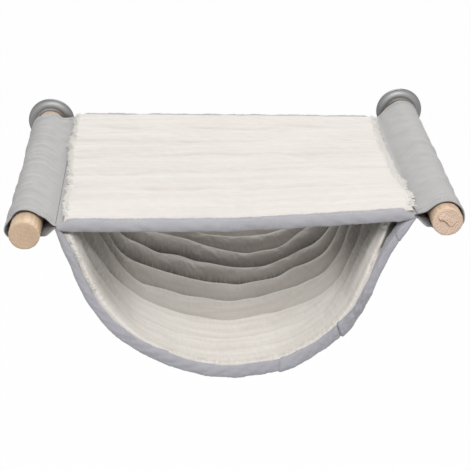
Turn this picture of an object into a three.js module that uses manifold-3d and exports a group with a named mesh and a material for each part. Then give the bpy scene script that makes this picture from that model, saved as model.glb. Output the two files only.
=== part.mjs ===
// A wall-hung cat cave bed: two wooden poles stand out from the wall, and a padded cover slides over
// them. Its flat top panel is a lounge, and the deep sling below it is a cave, open in front and behind.
//
// Millimetres, +Z up. The wall is the plane y = 0 and the bed reaches out from it along -Y, so a depth
// here is a distance from the wall. The origin lies on the wall, halfway between the poles' axes.

import * as THREE from "three";
import { mergeVertices } from "three/addons/utils/BufferGeometryUtils.js";
import Module from "manifold-3d";

const wasm = await Module();
wasm.setup();

// Clearances
const seatGap = 0.3; // between two pieces that seat on each other
const cutOverrun = 1; // how far a cutting solid runs past what it cuts

// Poles
const poleSpacing = 476; // from axis to axis
const poleDiameter = 35;
const poleReach = 20.3; // bare wood in front of the cover
const poleEdge = 1.5; // chamfer round each end
const poleSides = 48;

// Steel plate on the wall, its stud and lock nut
const plateRadius = 24;
const plateThickness = 4;
const studRadius = 4;
const studHeadShare = 0.75; // depth of the stud's countersunk head, as a share of the plate
const studLength = 45;
const studTip = 1;
const studTipRoom = 5; // in the pole, past the stud's tip
const nutAcrossFlats = 13;
const nutThickness = 4;
const roundSides = 32;

// Wall screws
const screwsPerPlate = 3;
const screwEdgeDistance = 7.5; // from the plate's edge to the middle of each screw
const firstScrewAngle = Math.PI / 6;
const screwLength = 40; // below the head
const screwRadius = 2;
const screwTipLength = 6;
const screwTipRadius = 0.3;
const screwHeadRadius = 4;
const screwHeadHeight = 2.4;
const screwHeadCrownShare = 0.6; // radius of the head's top, as a share of the head's radius
const screwSides = 16;

// Threaded insert in the pole's rear end
const insertRadius = 6;
const insertLength = 25;
const insertFlangeLead = 1;

// Spun dish that hides the plate
const dishWall = 1.4;
const dishPlateRoom = 5.6; // between the plate's edge and the inside of the dish's rim
const dishRimHeight = 2.2;
const dishLandInset = 2; // from the plate's edge in to the edge of the dish's flat land
const dishCurveSteps = 5;
const dishSides = 48;

// Cover
const coverDepth = 320;
const coverRearGap = 10; // bare wood between the dish and the cover
const seamFlat = 9; // width of the flat seam between each sleeve's loop and the panel

// Sleeves
const sleeveCloth = 2.2;
const sleeveEase = 0.5; // round the pole
const sleeveReach = 29; // from the pole's axis to where the loop's two layers meet
const sleeveArcSteps = 30;

// Binding tape round the front and rear edges
const bindingCloth = 1.2;
const bindingLap = 9; // how far the tape laps over each face
const tapeClearance = 1; // from the tape to the first crease of the plush

// Top panel, from its underside up
const panelBaseCloth = 1.6;
const panelWadding = 5.2;
const panelFleece = 3.6;
const panelSag = 5; // of the front edge's middle; the rear edge hangs straight
const panelSpanSteps = 14;
const panelEdgeRoll = 10; // how far in from the seam the fleece rounds over
const panelEdgeDip = 1.4; // how much lower the fleece is at the seam
const panelSeamShare = 0.2; // of its rolls' height that is left at the seam

// Sling, from its outside in
const slingDrop = 211; // from the poles' axes to the outside of its bottom, at the front edge
const slingRoundShare = 0.9; // outer radius of its bottom, as a share of half its width at the top
const slingSeamOffset = 5.5; // from the panel's edge out to the outside of the sling's top edge
const slingShell = 2.2;
const slingWadding = 7.5;
const slingLining = 6.2;
const slingSideShare = 0.65; // thickness at the seams, as a share of that at the bottom
const slingRearRise = 39; // how much less deep the sling hangs at its rear edge
const slingRiseCurveShare = 1.7; // over 1 keeps the rise to the rear
const slingArcSteps = 20;
const slingSideSteps = 2;
const slingDepthSteps = 5;
const paddingDrop = 2; // of the wadding's and the lining's top edges, below the panel

// Rolls of the plush, side by side from front to rear
const slingRolls = 8;
const panelRolls = 6;
const rollSteps = 5;
const rollSpreadShare = 0.85; // under 1 makes the rolls wider towards the front
const rollLeanShare = 1.6; // over 1 leans each roll's crest towards the rear
const rollFullnessShare = 0.7; // under 1 makes each roll fuller
const rollCreaseSink = 1.5;
const slingFrontRoll = 4.2;
const slingRearRoll = 13;
const panelRoll = 2.2;

// Places that follow from the sizes above
const poleX = poleSpacing / 2;
const poleRadius = poleDiameter / 2;
const seamHalfWidth = poleX - sleeveReach - seamFlat;
const dishRadius = plateRadius + dishPlateRoom + dishWall;
const dishLandRadius = plateRadius - dishLandInset;
const screwCircleRadius = plateRadius - screwEdgeDistance;
const studHeadRadius = studRadius + plateThickness * studHeadShare;
const nutStart = plateThickness + seatGap;
const dishDepth = nutStart + nutThickness + seatGap + dishWall;
const poleStart = dishDepth + seatGap;
const coverStart = dishDepth + coverRearGap;
const coverEnd = coverStart + coverDepth;
const poleEnd = coverEnd + poleReach;
const studHole = studRadius + seatGap;
const insertHole = insertRadius + seatGap;
const panelThickness = panelBaseCloth + panelWadding + panelFleece + 2 * seatGap;
const panelBottom = -panelThickness / 2;
const panelLowest = panelBottom - seatGap - bindingCloth;
const slingThickness = slingShell + slingWadding + slingLining + 2 * seatGap;
const slingHalfWidth = seamHalfWidth + slingSeamOffset;
const slingRadius = slingHalfWidth * slingRoundShare;
const slingTopZ = -sleeveCloth - seatGap;
const paddingTopZ = panelLowest - paddingDrop;

// Materials
const finish = (color, roughness, metalness = 0) =>
  new THREE.MeshStandardMaterial({ color, roughness, metalness });
const pine = finish(0xd9b48c, 0.6);
const spunSteel = finish(0x9b9a98, 0.35, 1);
const zincSteel = finish(0xb9bcc0, 0.45, 1);
const suede = finish(0xb4b3b7, 0.95);
const plush = finish(0xeee6db, 1);
const wadding = finish(0xf2f2ef, 1);

const group = new THREE.Group();

function add(name, geometry, material, x = 0) {
  const mesh = new THREE.Mesh(geometry, material);
  mesh.name = name;
  mesh.position.x = x;
  group.add(mesh);
}

// A closed geometry as a solid that can be cut, and back again
function toSolid(geometry) {
  const bare = geometry.clone();
  bare.deleteAttribute("normal");
  bare.deleteAttribute("uv");
  const merged = mergeVertices(bare);
  return new wasm.Manifold(
    new wasm.Mesh({
      numProp: 3,
      vertProperties: merged.attributes.position.array,
      triVerts: new Uint32Array(merged.index.array),
    }),
  );
}

function toGeometry(solid) {
  const mesh = solid.getMesh();
  const geometry = new THREE.BufferGeometry();
  geometry.setAttribute("position", new THREE.BufferAttribute(mesh.vertProperties, 3));
  geometry.setIndex(new THREE.BufferAttribute(mesh.triVerts, 1));
  return geometry;
}

// A round solid about the line that runs straight out from the wall.
// The profile is a list of [radius, depth], from the front of the solid back to the wall side.
function turned(profile, sides) {
  return new THREE.LatheGeometry(
    profile.map(([radius, depth]) => new THREE.Vector2(radius, -depth)),
    sides,
  );
}

// A flat outline in X and Z, carried out from one depth to another
function carriedOut(shape, from, to) {
  const geometry = new THREE.ExtrudeGeometry(shape, { depth: to - from, bevelEnabled: false });
  geometry.rotateX(Math.PI / 2);
  geometry.translate(0, -from, 0);
  return geometry;
}

// A solid whose section, a closed list of [height, depth], is placed at each of a row of stations.
// Every side quad is split from its rear at one station to its front at the next, so that the faces
// of two layers that lie on each other match.
function lofted(stations, sectionAt, place) {
  const sections = stations.map(sectionAt);
  const rings = sections.map((section, i) =>
    section.map(([height, depth]) => place(stations[i], height, depth)),
  );
  const count = rings[0].length;
  const index = [];
  for (let i = 0; i + 1 < rings.length; i++) {
    for (let j = 0; j < count; j++) {
      const k = (j + 1) % count;
      const [a, b, c, d] = [i * count + j, i * count + k, (i + 1) * count + j, (i + 1) * count + k];
      if (sections[i][j][1] < sections[i][k][1]) index.push(a, b, d, a, d, c);
      else index.push(a, b, c, b, d, c);
    }
  }
  const cap = (i, turn) => {
    const outline = sections[i].map(([height, depth]) => new THREE.Vector2(depth, height));
    for (const face of THREE.ShapeUtils.triangulateShape(outline, [])) {
      const [p, q, r] = turn ? [face[0], face[2], face[1]] : face;
      index.push(i * count + p, i * count + q, i * count + r);
    }
  };
  cap(0, false);
  cap(rings.length - 1, true);
  const geometry = new THREE.BufferGeometry().setFromPoints(rings.flat());
  geometry.setIndex(index);
  return geometry;
}

// Sections, in [height, depth]. Height counts up from a layer's underside or in from its outside.
// A line of points at one height from front to rear, in equal steps
function level(height, steps) {
  const at = (k) => [height, coverEnd - (coverDepth * k) / steps];
  return Array.from({ length: steps + 1 }, (_, k) => at(k));
}

const slab = (low, high, steps) => [...level(high, steps).reverse(), ...level(low, steps)];

// The tape's section is a channel that opens towards the middle of the cover
function channel(low, high, edge, inwards) {
  const inner = edge + inwards * bindingLap;
  const face = edge - inwards * seatGap;
  const outer = face - inwards * bindingCloth;
  const [bottom, top] = [low - seatGap, high + seatGap];
  const section = [
    [bottom - bindingCloth, outer],
    [top + bindingCloth, outer],
    [top + bindingCloth, inner],
    [top, inner],
    [top, face],
    [bottom, face],
    [bottom, inner],
    [bottom - bindingCloth, inner],
  ];
  return inwards > 0 ? section : section.reverse();
}

// The plush's surface rises from each crease to a crest that leans to the rear, and drops to the next
// crease. Share runs from 0 at the roll's front crease to 1 at its rear one.
const rollRise = (share) => Math.sin(Math.PI * share ** rollLeanShare) ** rollFullnessShare;

// A layer with rolls on its upper side: flat under each lap of tape, and rolled between them
function rolledSlab(low, flat, lowSteps, rolls, heightAt) {
  const front = coverEnd - bindingLap - tapeClearance;
  const rear = coverStart + bindingLap + tapeClearance;
  const creaseAt = (roll) => (roll / rolls) ** rollSpreadShare;
  const section = [[flat, coverStart]];
  for (let k = rolls * rollSteps; k >= 0; k--) {
    const roll = Math.floor(k / rollSteps);
    const share = k / rollSteps - roll;
    const along = creaseAt(roll) + (creaseAt(roll + 1) - creaseAt(roll)) * share;
    const height = flat - rollCreaseSink + heightAt(along) * rollRise(share);
    section.push([height, front + (rear - front) * along]);
  }
  return [...section, [flat, coverEnd], ...level(low, lowSteps)];
}

// Pole, and the steel that holds it to the wall
function pole() {
  const pocket = poleStart + insertLength + 2 * seatGap;
  const pilotEnd = studLength + studTipRoom;
  return turned(
    [
      [0, poleEnd],
      [poleRadius - poleEdge, poleEnd],
      [poleRadius, poleEnd - poleEdge],
      [poleRadius, poleStart + poleEdge],
      [poleRadius - poleEdge, poleStart],
      [insertHole, poleStart],
      [insertHole, pocket],
      [studHole, pocket],
      [studHole, pilotEnd],
      [0, pilotEnd],
    ],
    poleSides,
  );
}

function threadInsert() {
  const [start, end] = [poleStart + seatGap, poleStart + seatGap + insertLength];
  return turned(
    [
      [studHole, end],
      [insertRadius - insertFlangeLead, end],
      [insertRadius, end - insertFlangeLead],
      [insertRadius, start],
      [studHole, start],
      [studHole, end],
    ],
    roundSides,
  );
}

// The stud's head is a cone that sinks into the wall side of the plate
function stud() {
  const tip = seatGap + studLength;
  const coneEnd = seatGap + studHeadRadius - studRadius;
  return turned(
    [
      [0, tip],
      [studRadius - studTip, tip],
      [studRadius, tip - studTip],
      [studRadius, coneEnd],
      [studHeadRadius, seatGap],
      [0, seatGap],
    ],
    roundSides,
  );
}

function lockNut() {
  const shape = new THREE.Shape();
  const corner = nutAcrossFlats / 2 / Math.cos(Math.PI / 6);
  for (let i = 0; i < 6; i++) {
    const angle = (i * Math.PI) / 3;
    const point = [corner * Math.cos(angle), corner * Math.sin(angle)];
    if (i === 0) shape.moveTo(...point);
    else shape.lineTo(...point);
  }
  const hole = new THREE.Path();
  hole.absarc(0, 0, studHole, 0, 2 * Math.PI, true);
  shape.holes.push(hole);
  return carriedOut(shape, nutStart, nutStart + nutThickness);
}

const screwAngles = Array.from(
  { length: screwsPerPlate },
  (_, i) => firstScrewAngle + (2 * Math.PI * i) / screwsPerPlate,
);

function wallPlate() {
  const sinkTop = studHeadRadius + seatGap;
  const disc = turned(
    [
      [studHole, plateThickness],
      [plateRadius, plateThickness],
      [plateRadius, 0],
      [sinkTop, 0],
      [sinkTop, seatGap],
      [studHole, seatGap + sinkTop - studHole],
      [studHole, plateThickness],
    ],
    poleSides,
  );
  const drill = turned(
    [
      [0, plateThickness + cutOverrun],
      [screwRadius + seatGap, plateThickness + cutOverrun],
      [screwRadius + seatGap, -cutOverrun],
      [0, -cutOverrun],
    ],
    screwSides,
  );
  let plate = toSolid(disc);
  for (const angle of screwAngles) {
    const hole = drill
      .clone()
      .translate(screwCircleRadius * Math.cos(angle), 0, screwCircleRadius * Math.sin(angle));
    plate = plate.subtract(toSolid(hole));
  }
  return toGeometry(plate);
}

function wallScrew(angle) {
  const seat = plateThickness + seatGap;
  const tip = seat - screwLength;
  return turned(
    [
      [0, seat + screwHeadHeight],
      [screwHeadRadius * screwHeadCrownShare, seat + screwHeadHeight],
      [screwHeadRadius, seat + screwHeadHeight / 2],
      [screwHeadRadius, seat],
      [screwRadius, seat],
      [screwRadius, tip + screwTipLength],
      [screwTipRadius, tip],
      [0, tip],
    ],
    screwSides,
  ).translate(screwCircleRadius * Math.cos(angle), 0, screwCircleRadius * Math.sin(angle));
}

// From its rim on the wall the dish curves forward, as a quarter of an ellipse, to a flat land
function wallDish() {
  const curve = (inset) => {
    const points = [];
    for (let i = 0; i <= dishCurveSteps; i++) {
      const angle = ((Math.PI / 2) * i) / dishCurveSteps;
      points.push([
        dishLandRadius + (dishRadius - inset - dishLandRadius) * Math.sin(angle),
        dishRimHeight + (dishDepth - inset - dishRimHeight) * Math.cos(angle),
      ]);
    }
    return points;
  };
  return turned(
    [
      [studHole, dishDepth],
      ...curve(0),
      [dishRadius, 0],
      [dishRadius - dishWall, 0],
      ...curve(dishWall).reverse(),
      [studHole, dishDepth - dishWall],
      [studHole, dishDepth],
    ],
    dishSides,
  );
}

// Sleeve: a loop of cloth round the pole, closed into a flat seam that points at the panel.
// Side is -1 for the left one and 1 for the right one.
function sleeve(side) {
  const inner = poleRadius + sleeveEase;
  const outer = inner + sleeveCloth;
  const lean = Math.asin(inner / sleeveReach);
  const pinch = outer / Math.sin(lean) - sleeveCloth / Math.tan(lean);
  const towards = (distance) => side * (poleX - distance);
  const loop = (radius) => {
    const points = [];
    const half = Math.PI / 2 + lean;
    for (let i = 0; i <= sleeveArcSteps; i++) {
      const angle = half - (2 * half * i) / sleeveArcSteps;
      points.push([towards(-radius * Math.cos(angle)), radius * Math.sin(angle)]);
    }
    return points;
  };
  const seamEnd = side * (seamHalfWidth + seatGap);
  const draw = (path, points) => {
    path.moveTo(...points[0]);
    points.slice(1).forEach((point) => path.lineTo(...point));
    return path;
  };
  const shape = draw(new THREE.Shape(), [
    [seamEnd, sleeveCloth],
    [towards(pinch), sleeveCloth],
    ...loop(outer),
    [towards(pinch), -sleeveCloth],
    [seamEnd, -sleeveCloth],
  ]);
  shape.holes.push(draw(new THREE.Path(), [[towards(sleeveReach), 0], ...loop(inner).reverse()]));
  return carriedOut(shape, coverStart, coverEnd);
}

// The panel hangs a little in the middle of its front edge, and is straight at the rear
const panelStations = Array.from({ length: panelSpanSteps + 1 }, (_, i) => {
  const share = (2 * i) / panelSpanSteps - 1;
  return seamHalfWidth * Math.sin((share * Math.PI) / 2);
});
const sagAt = (x, depth) =>
  panelSag * (1 - (x / seamHalfWidth) ** 2) * ((depth - coverStart) / coverDepth);
const panelPlace = (x, height, depth) =>
  new THREE.Vector3(x, -depth, panelBottom + height - sagAt(x, depth));
const panelLayer = (section) => lofted(panelStations, section, panelPlace);

// Near each seam the fleece rounds over, and its rolls grow shallow
function fleeceSection(x) {
  const share = Math.min((seamHalfWidth - Math.abs(x)) / panelEdgeRoll, 1);
  const round = Math.sqrt(1 - (1 - share) ** 2);
  const roll = panelRoll * (panelSeamShare + (1 - panelSeamShare) * round);
  const low = panelThickness - panelFleece;
  return rolledSlab(low, panelThickness, 1, panelRolls, () => roll).map(([height, depth]) => {
    const rolled = height > low && depth > coverStart && depth < coverEnd;
    return [rolled ? height - panelEdgeDip * (1 - round) : height, depth];
  });
}

// Half of the sling's outside: a straight side from the seam, tangent to the round bottom
const seamPoint = new THREE.Vector2(slingHalfWidth, slingTopZ);
const slingCentre = new THREE.Vector2(0, slingRadius - slingDrop);
const toSeam = seamPoint.clone().sub(slingCentre);
const tangentAngle = toSeam.angle() - Math.acos(slingRadius / toSeam.length());
const inwardAt = (angle) => new THREE.Vector2(-Math.cos(angle), -Math.sin(angle));
const sideLength = Math.sqrt(toSeam.lengthSq() - slingRadius ** 2);
const sideInward = inwardAt(tangentAngle);
const sideDown = new THREE.Vector2(-sideInward.y, sideInward.x);

// Stations run along the outside from the left seam to the right one. At the two end stations the
// sling is cut off level, at a height that each layer gives.
function slingStations() {
  const right = [];
  for (let i = 0; i < slingSideSteps; i++) {
    const point = seamPoint.clone().addScaledVector(sideDown, (sideLength * i) / slingSideSteps);
    right.push({ point, inward: sideInward, down: i === 0 ? sideDown : null });
  }
  const half = slingArcSteps / 2;
  for (let i = 0; i <= half; i++) {
    const angle = tangentAngle + ((-Math.PI / 2 - tangentAngle) * i) / half;
    const inward = inwardAt(angle);
    right.push({ point: slingCentre.clone().addScaledVector(inward, -slingRadius), inward, down: null });
  }
  const flip = (v) => v && new THREE.Vector2(-v.x, v.y);
  const left = right
    .slice(0, -1)
    .map(({ point, inward, down }) => ({ point: flip(point), inward: flip(inward), down: flip(down) }));
  return [...left, ...right.reverse()];
}

// How low a height is, from 0 at the sling's top edges to 1 at the outside of its bottom
const lownessAt = (z) => (slingTopZ - z) / (slingTopZ + slingDrop);

// Towards the rear the sling hangs less deep: its bottom rises, and its top edges stay where they are
function riseAt(depth) {
  const along = Math.max((coverEnd - depth) / coverDepth, 0);
  return slingRearRise * along ** slingRiseCurveShare;
}

function slingLayer(section, topZ) {
  return lofted(slingStations(), section, ({ point, inward, down }, height, depth) => {
    const fullness = slingSideShare + (1 - slingSideShare) * lownessAt(point.y);
    const place = point.clone().addScaledVector(inward, height * fullness);
    if (down) place.addScaledVector(down, (place.y - topZ) / -down.y);
    return new THREE.Vector3(place.x, -depth, place.y + riseAt(depth) * lownessAt(place.y));
  });
}

// Left and right pole sets
for (const [side, name] of [
  [-1, "left"],
  [1, "right"],
]) {
  const x = side * poleX;
  add(`${name}_wall_plate`, wallPlate(), zincSteel, x);
  add(`${name}_stud`, stud(), zincSteel, x);
  add(`${name}_lock_nut`, lockNut(), zincSteel, x);
  screwAngles.forEach((angle, i) => {
    add(`${name}_wall_screw_${i + 1}`, wallScrew(angle), zincSteel, x);
  });
  add(`${name}_wall_dish`, wallDish(), spunSteel, x);
  add(`${name}_thread_insert`, threadInsert(), zincSteel, x);
  add(`${name}_pole`, pole(), pine, x);
  add(`${name}_sleeve`, sleeve(side), suede);
}

// Top panel
const panelWaddingLow = panelBaseCloth + seatGap;
const panelWaddingHigh = panelWaddingLow + panelWadding;
add("panel_base_cloth", panelLayer(() => slab(0, panelBaseCloth, 1)), suede);
add("panel_wadding", panelLayer(() => slab(panelWaddingLow, panelWaddingHigh, 1)), wadding);
add("panel_fleece", panelLayer(fleeceSection), plush);
add("panel_front_binding", panelLayer(() => channel(0, panelThickness, coverEnd, -1)), suede);
add("panel_rear_binding", panelLayer(() => channel(0, panelThickness, coverStart, 1)), suede);

// Sling
const slingWaddingLow = slingShell + seatGap;
const slingWaddingHigh = slingWaddingLow + slingWadding;
const slingLiningLow = slingWaddingHigh + seatGap;
const shellSection = slab(0, slingShell, slingDepthSteps);
const waddingSection = slab(slingWaddingLow, slingWaddingHigh, slingDepthSteps);
const rollHeightAt = (along) => slingFrontRoll + (slingRearRoll - slingFrontRoll) * along;
const liningSection = rolledSlab(
  slingLiningLow,
  slingThickness,
  slingDepthSteps,
  slingRolls,
  rollHeightAt,
);
const slingBinding = (edge, inwards) =>
  slingLayer(() => channel(0, slingThickness, edge, inwards), paddingTopZ);
add("sling_shell", slingLayer(() => shellSection, slingTopZ), suede);
add("sling_wadding", slingLayer(() => waddingSection, paddingTopZ), wadding);
add("sling_lining", slingLayer(() => liningSection, paddingTopZ), plush);
add("sling_front_binding", slingBinding(coverEnd, -1), suede);
add("sling_rear_binding", slingBinding(coverStart, 1), suede);

export default group;
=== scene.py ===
"""A wall-hung cat cave bed: two pine poles on spun dishes carry one padded cover. Its flat plush top is
a lounge, and the deep sling below it is a cave lined with plush that lies in rolls."""

import math

import bmesh
import bpy
import numpy as np
from mathutils import Matrix, Vector


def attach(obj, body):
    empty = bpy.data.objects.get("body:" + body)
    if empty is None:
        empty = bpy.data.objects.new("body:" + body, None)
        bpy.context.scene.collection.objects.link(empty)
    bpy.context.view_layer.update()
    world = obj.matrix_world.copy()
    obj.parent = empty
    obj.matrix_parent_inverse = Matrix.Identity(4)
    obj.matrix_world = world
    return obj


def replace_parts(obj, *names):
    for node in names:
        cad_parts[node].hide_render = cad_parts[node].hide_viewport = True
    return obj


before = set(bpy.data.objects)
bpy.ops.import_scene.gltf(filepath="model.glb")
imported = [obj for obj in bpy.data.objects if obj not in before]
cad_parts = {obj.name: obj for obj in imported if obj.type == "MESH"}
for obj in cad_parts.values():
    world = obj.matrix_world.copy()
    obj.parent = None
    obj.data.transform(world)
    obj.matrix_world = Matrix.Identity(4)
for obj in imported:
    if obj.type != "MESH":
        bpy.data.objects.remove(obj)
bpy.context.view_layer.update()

# Shapes are worked out in millimetres, with depth counted out from the wall, so y is minus the depth
MM = 0.001
TURN = 2 * math.pi

# Sizes that the model was built to
POLE_X = 238.0
POLE_RADIUS = 17.5
POLE_START, POLE_END = 10.3, 360.3
POLE_EDGE = 1.5
INSERT_HOLE, INSERT_POCKET = 6.3, 35.9
STUD_HOLE, STUD_POCKET = 4.3, 50.0
COVER_START, COVER_END = 20.0, 340.0
COVER_DEPTH = COVER_END - COVER_START
SEAM_X = 200.0
SLEEVE_REACH = 29.0
SLEEVE_INNER = 18.0
SLEEVE_CLOTH = 2.0
PANEL_THICKNESS = 11.0
PANEL_SAG = 5.0
SLING_DROP = 211.0
SLING_HALF = 205.5
SLING_RADIUS = SLING_HALF * 0.9
SLING_TOP = -2.5
SLING_THICKNESS = 16.5
# The share of the sling's thickness that is left at the seams, and how its bottom rises to the rear:
# by that much, times that power of the way back
SLING_SIDE_SHARE = 0.65
SLING_REAR_RISE = 39.0
SLING_RISE_CURVE = 1.7
TAPE_CLOTH = 1.2


# ---------------------------------------------------------------- meshes


def grid_quads(rows, columns):
    """The quads of an open grid of points, as rows of four indices."""
    r, c = np.meshgrid(np.arange(rows - 1), np.arange(columns - 1), indexing="ij")
    first = r * columns + c
    return np.stack([first, first + 1, first + columns + 1, first + columns], -1).reshape(-1, 4)


def put_together(name, points, quads, uv, pile=None, capped=False):
    """A mesh from points in millimetres, quads, and one uv for each corner of each quad. Lines of points
    that meet are joined, open ends are capped, and the faces are turned outwards. Pile is a second uv
    whose first coordinate is the shade painted at each corner, in folds, creases and shaded hollows."""
    mesh = bpy.data.meshes.new(name)
    mesh.vertices.add(len(points))
    mesh.vertices.foreach_set("co", np.asarray(points * MM, np.float32).ravel())
    mesh.loops.add(quads.size)
    mesh.loops.foreach_set("vertex_index", quads.astype(np.int32).ravel())
    mesh.polygons.add(len(quads))
    mesh.polygons.foreach_set("loop_start", np.arange(0, quads.size, 4, dtype=np.int32))
    for layer, values in (("cloth", uv), ("pile", pile)):
        if values is not None:
            made = mesh.uv_layers.new(name=layer)
            made.uv.foreach_set("vector", np.asarray(values, np.float32).ravel())
    mesh.update(calc_edges=True)
    shape = bmesh.new()
    shape.from_mesh(mesh)
    bmesh.ops.remove_doubles(shape, verts=shape.verts, dist=2e-6)
    bmesh.ops.dissolve_degenerate(shape, dist=1e-7, edges=shape.edges)
    if capped:
        bmesh.ops.holes_fill(shape, edges=[edge for edge in shape.edges if edge.is_boundary], sides=0)
    if shape.calc_volume(signed=True) < 0:
        bmesh.ops.reverse_faces(shape, faces=shape.faces)
    shape.to_mesh(mesh)
    shape.free()
    return mesh


def linked(name, data):
    """A new object in the scene that carries the data."""
    made = bpy.data.objects.new(name, data)
    bpy.context.scene.collection.objects.link(made)
    return made


def read_vectors(items, field):
    """One vector of each of a mesh's vertices or faces, as rows."""
    values = np.empty(len(items) * 3, np.float32)
    items.foreach_get(field, values)
    return values.reshape(-1, 3)


def add_piece(mesh, body, material, sharp=None):
    """Puts a mesh in the scene as a smooth-shaded piece that rides on a body. Edges that turn by more than
    the sharp angle, in degrees, stay crisp."""
    mesh.polygons.foreach_set("use_smooth", np.ones(len(mesh.polygons), bool))
    if sharp:
        mesh.set_sharp_from_angle(angle=math.radians(sharp))
    piece = linked(mesh.name, mesh)
    mesh.materials.append(material)
    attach(piece, body)
    return piece


def surface(name, points, uv, pile=None, capped=False):
    """A closed surface from a grid of points, and the uv in millimetres at each of them."""
    quads = grid_quads(*points.shape[:2])
    corners = quads.ravel()
    pile = None if pile is None else pile.reshape(-1, 2)[corners]
    return put_together(name, points.reshape(-1, 3), quads, (uv.reshape(-1, 2) * MM)[corners], pile, capped)


def every_nth(count, step):
    """Every step-th place in a count, and the last one."""
    return np.unique(np.append(np.arange(0, count, step), count - 1))


def filled_in(values, picked, count):
    """Values that were picked at some places along the first axis, filled in by straight lines at all."""
    lines = [np.interp(np.arange(count), picked, line) for line in values.reshape(len(picked), -1).T]
    return np.stack(lines, -1).reshape(count, *values.shape[1:])


# How the settling cloth behaves, for how many frames it settles, and in how many steps it is pinned
CLOTH = {
    "quality": 6,
    "mass": 0.2,
    "tension_stiffness": 12,
    "compression_stiffness": 12,
    "shear_stiffness": 8,
    "bending_stiffness": 0.4,
    "use_pressure": True,
    "vertex_group_mass": "held",
}
CLOTH_FRAMES = 16
PIN_LEVELS = 8


def puffed(points, held, steps, pressure, reach, spare):
    """Lets a pad's filled face settle as cloth that is blown up from inside. A coarser grid of its points
    is simulated, pinned where held is 1 and with some spare cloth that wrinkles. Each point's move is
    eased by a hyperbolic tangent to stay under the reach, and the moves are spread back over the fine
    grid."""
    rows, columns = every_nth(points.shape[0], steps[0]), every_nth(points.shape[1], steps[1])
    coarse = points[np.ix_(rows, columns)] * MM
    mesh = bpy.data.meshes.new("settling")
    mesh.from_pydata(coarse.reshape(-1, 3), [], grid_quads(len(rows), len(columns)).tolist())
    piece = linked("settling", mesh)
    group = piece.vertex_groups.new(name="held")
    levels = np.round(held[np.ix_(rows, columns)].ravel() * PIN_LEVELS).astype(int)
    for level in range(1, PIN_LEVELS + 1):
        group.add(np.flatnonzero(levels == level).tolist(), level / PIN_LEVELS, "REPLACE")
    cloth = piece.modifiers.new("Cloth", "CLOTH")
    for name, value in CLOTH.items():
        setattr(cloth.settings, name, value)
    cloth.settings.uniform_pressure_force = pressure
    cloth.settings.shrink_min = -spare
    cloth.settings.effector_weights.gravity = 0
    cloth.collision_settings.use_collision = False
    for frame_number in range(1, CLOTH_FRAMES + 1):
        bpy.context.scene.frame_set(frame_number)
    settled = piece.evaluated_get(bpy.context.evaluated_depsgraph_get()).data
    moves = (read_vectors(settled.vertices, "co").reshape(coarse.shape) - coarse) / MM
    size = np.linalg.norm(moves, axis=-1, keepdims=True)
    moves = moves * reach * np.tanh(size / reach) / np.maximum(size, 1e-6)
    bpy.data.objects.remove(piece)
    bpy.data.meshes.remove(mesh)
    bpy.context.scene.frame_set(1)
    down = filled_in(moves, rows, points.shape[0]).transpose(1, 0, 2)
    return points + filled_in(down, columns, points.shape[1]).transpose(1, 0, 2)


def copied(quads, count, size):
    """The quads of a number of copies of a shape that has size points."""
    return (quads[None] + (np.arange(count) * size)[:, None, None]).reshape(-1, 4)


def repeated(name, shape, quads, origins, axes):
    """Copies of one small shape: each copy's points are its origin plus the shape turned to its own axes,
    which are the columns of a 3 by 3 array."""
    points = origins[:, None, :] + np.einsum("nij,kj->nki", axes, shape)
    faces = copied(quads, len(origins), len(shape))
    flat = np.broadcast_to(shape[:, :2], (len(origins),) + shape[:, :2].shape).reshape(-1, 2) * MM
    return put_together(name, points.reshape(-1, 3), faces, flat[faces.ravel()])


def unit(vectors):
    """The vectors at length 1."""
    return vectors / np.maximum(np.linalg.norm(vectors, axis=-1, keepdims=True), 1e-9)


def smooth_step(low, high, value):
    """0 below low and 1 above high, with a smooth rise between them."""
    share = np.clip((value - low) / (high - low), 0, 1)
    return share * share * (3 - 2 * share)


def bell(value, middle, width):
    """1 at the middle, falling off to both sides as the exponential of minus the square over the width."""
    return np.exp(-(((value - middle) / width) ** 2))


def ripples(seed, a, b, longest, count=14, lean=None):
    """Smooth irregular waves between about -1 and 1: a sum of cosines over two coordinates, with seeded
    directions and with wavelengths from the longest down to a fifth of it. Lean narrows the directions
    to near one angle."""
    rng = np.random.default_rng(seed)
    total = np.zeros(np.broadcast(a, b).shape)
    for _ in range(count):
        angle = rng.uniform(0, TURN) if lean is None else lean + rng.normal(0, 0.25)
        number = TURN / (longest * rng.uniform(0.2, 1.0))
        total += np.cos(number * (a * math.cos(angle) + b * math.sin(angle)) + rng.uniform(0, TURN))
    return total / math.sqrt(count)


def line_run(line):
    """The length along a line up to each of its points."""
    return np.concatenate([[0], np.cumsum(np.linalg.norm(np.diff(line, axis=0), axis=1))])


def line_normal(line):
    """The unit normal to the left of a 2-D line at each of its points."""
    along = unit(np.gradient(line, axis=0))
    return np.stack([-along[:, 1], along[:, 0]], -1)


def along_line(at, run, line):
    """A line's coordinates at some lengths along it."""
    return np.stack([np.interp(at, run, values) for values in line.T], -1)


def eased_line(points, spacing, ease):
    """A 2-D line resampled at even spacing, with its corners eased by a running mean over that length."""
    run = line_run(points)
    count = max(int(run[-1] / spacing), 8)
    line = along_line(np.linspace(0, run[-1], count + 1), run, points)
    reach = max(int(ease / spacing / 2), 1)
    before = 2 * line[0] - line[reach:0:-1]
    after = 2 * line[-1] - line[-2 : -reach - 2 : -1]
    longer = np.concatenate([before, line, after])
    kernel = np.hanning(2 * reach + 3)[1:-1]
    kernel /= kernel.sum()
    return np.stack([np.convolve(values, kernel, "valid") for values in longer.T], -1)


def round_both_faces(one, other):
    """A grid's columns across one face, round the edge, and back across the other face."""
    return np.concatenate([one[:, :1], one, one[:, -1:], other[:, ::-1], one[:, :1]], 1)


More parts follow.
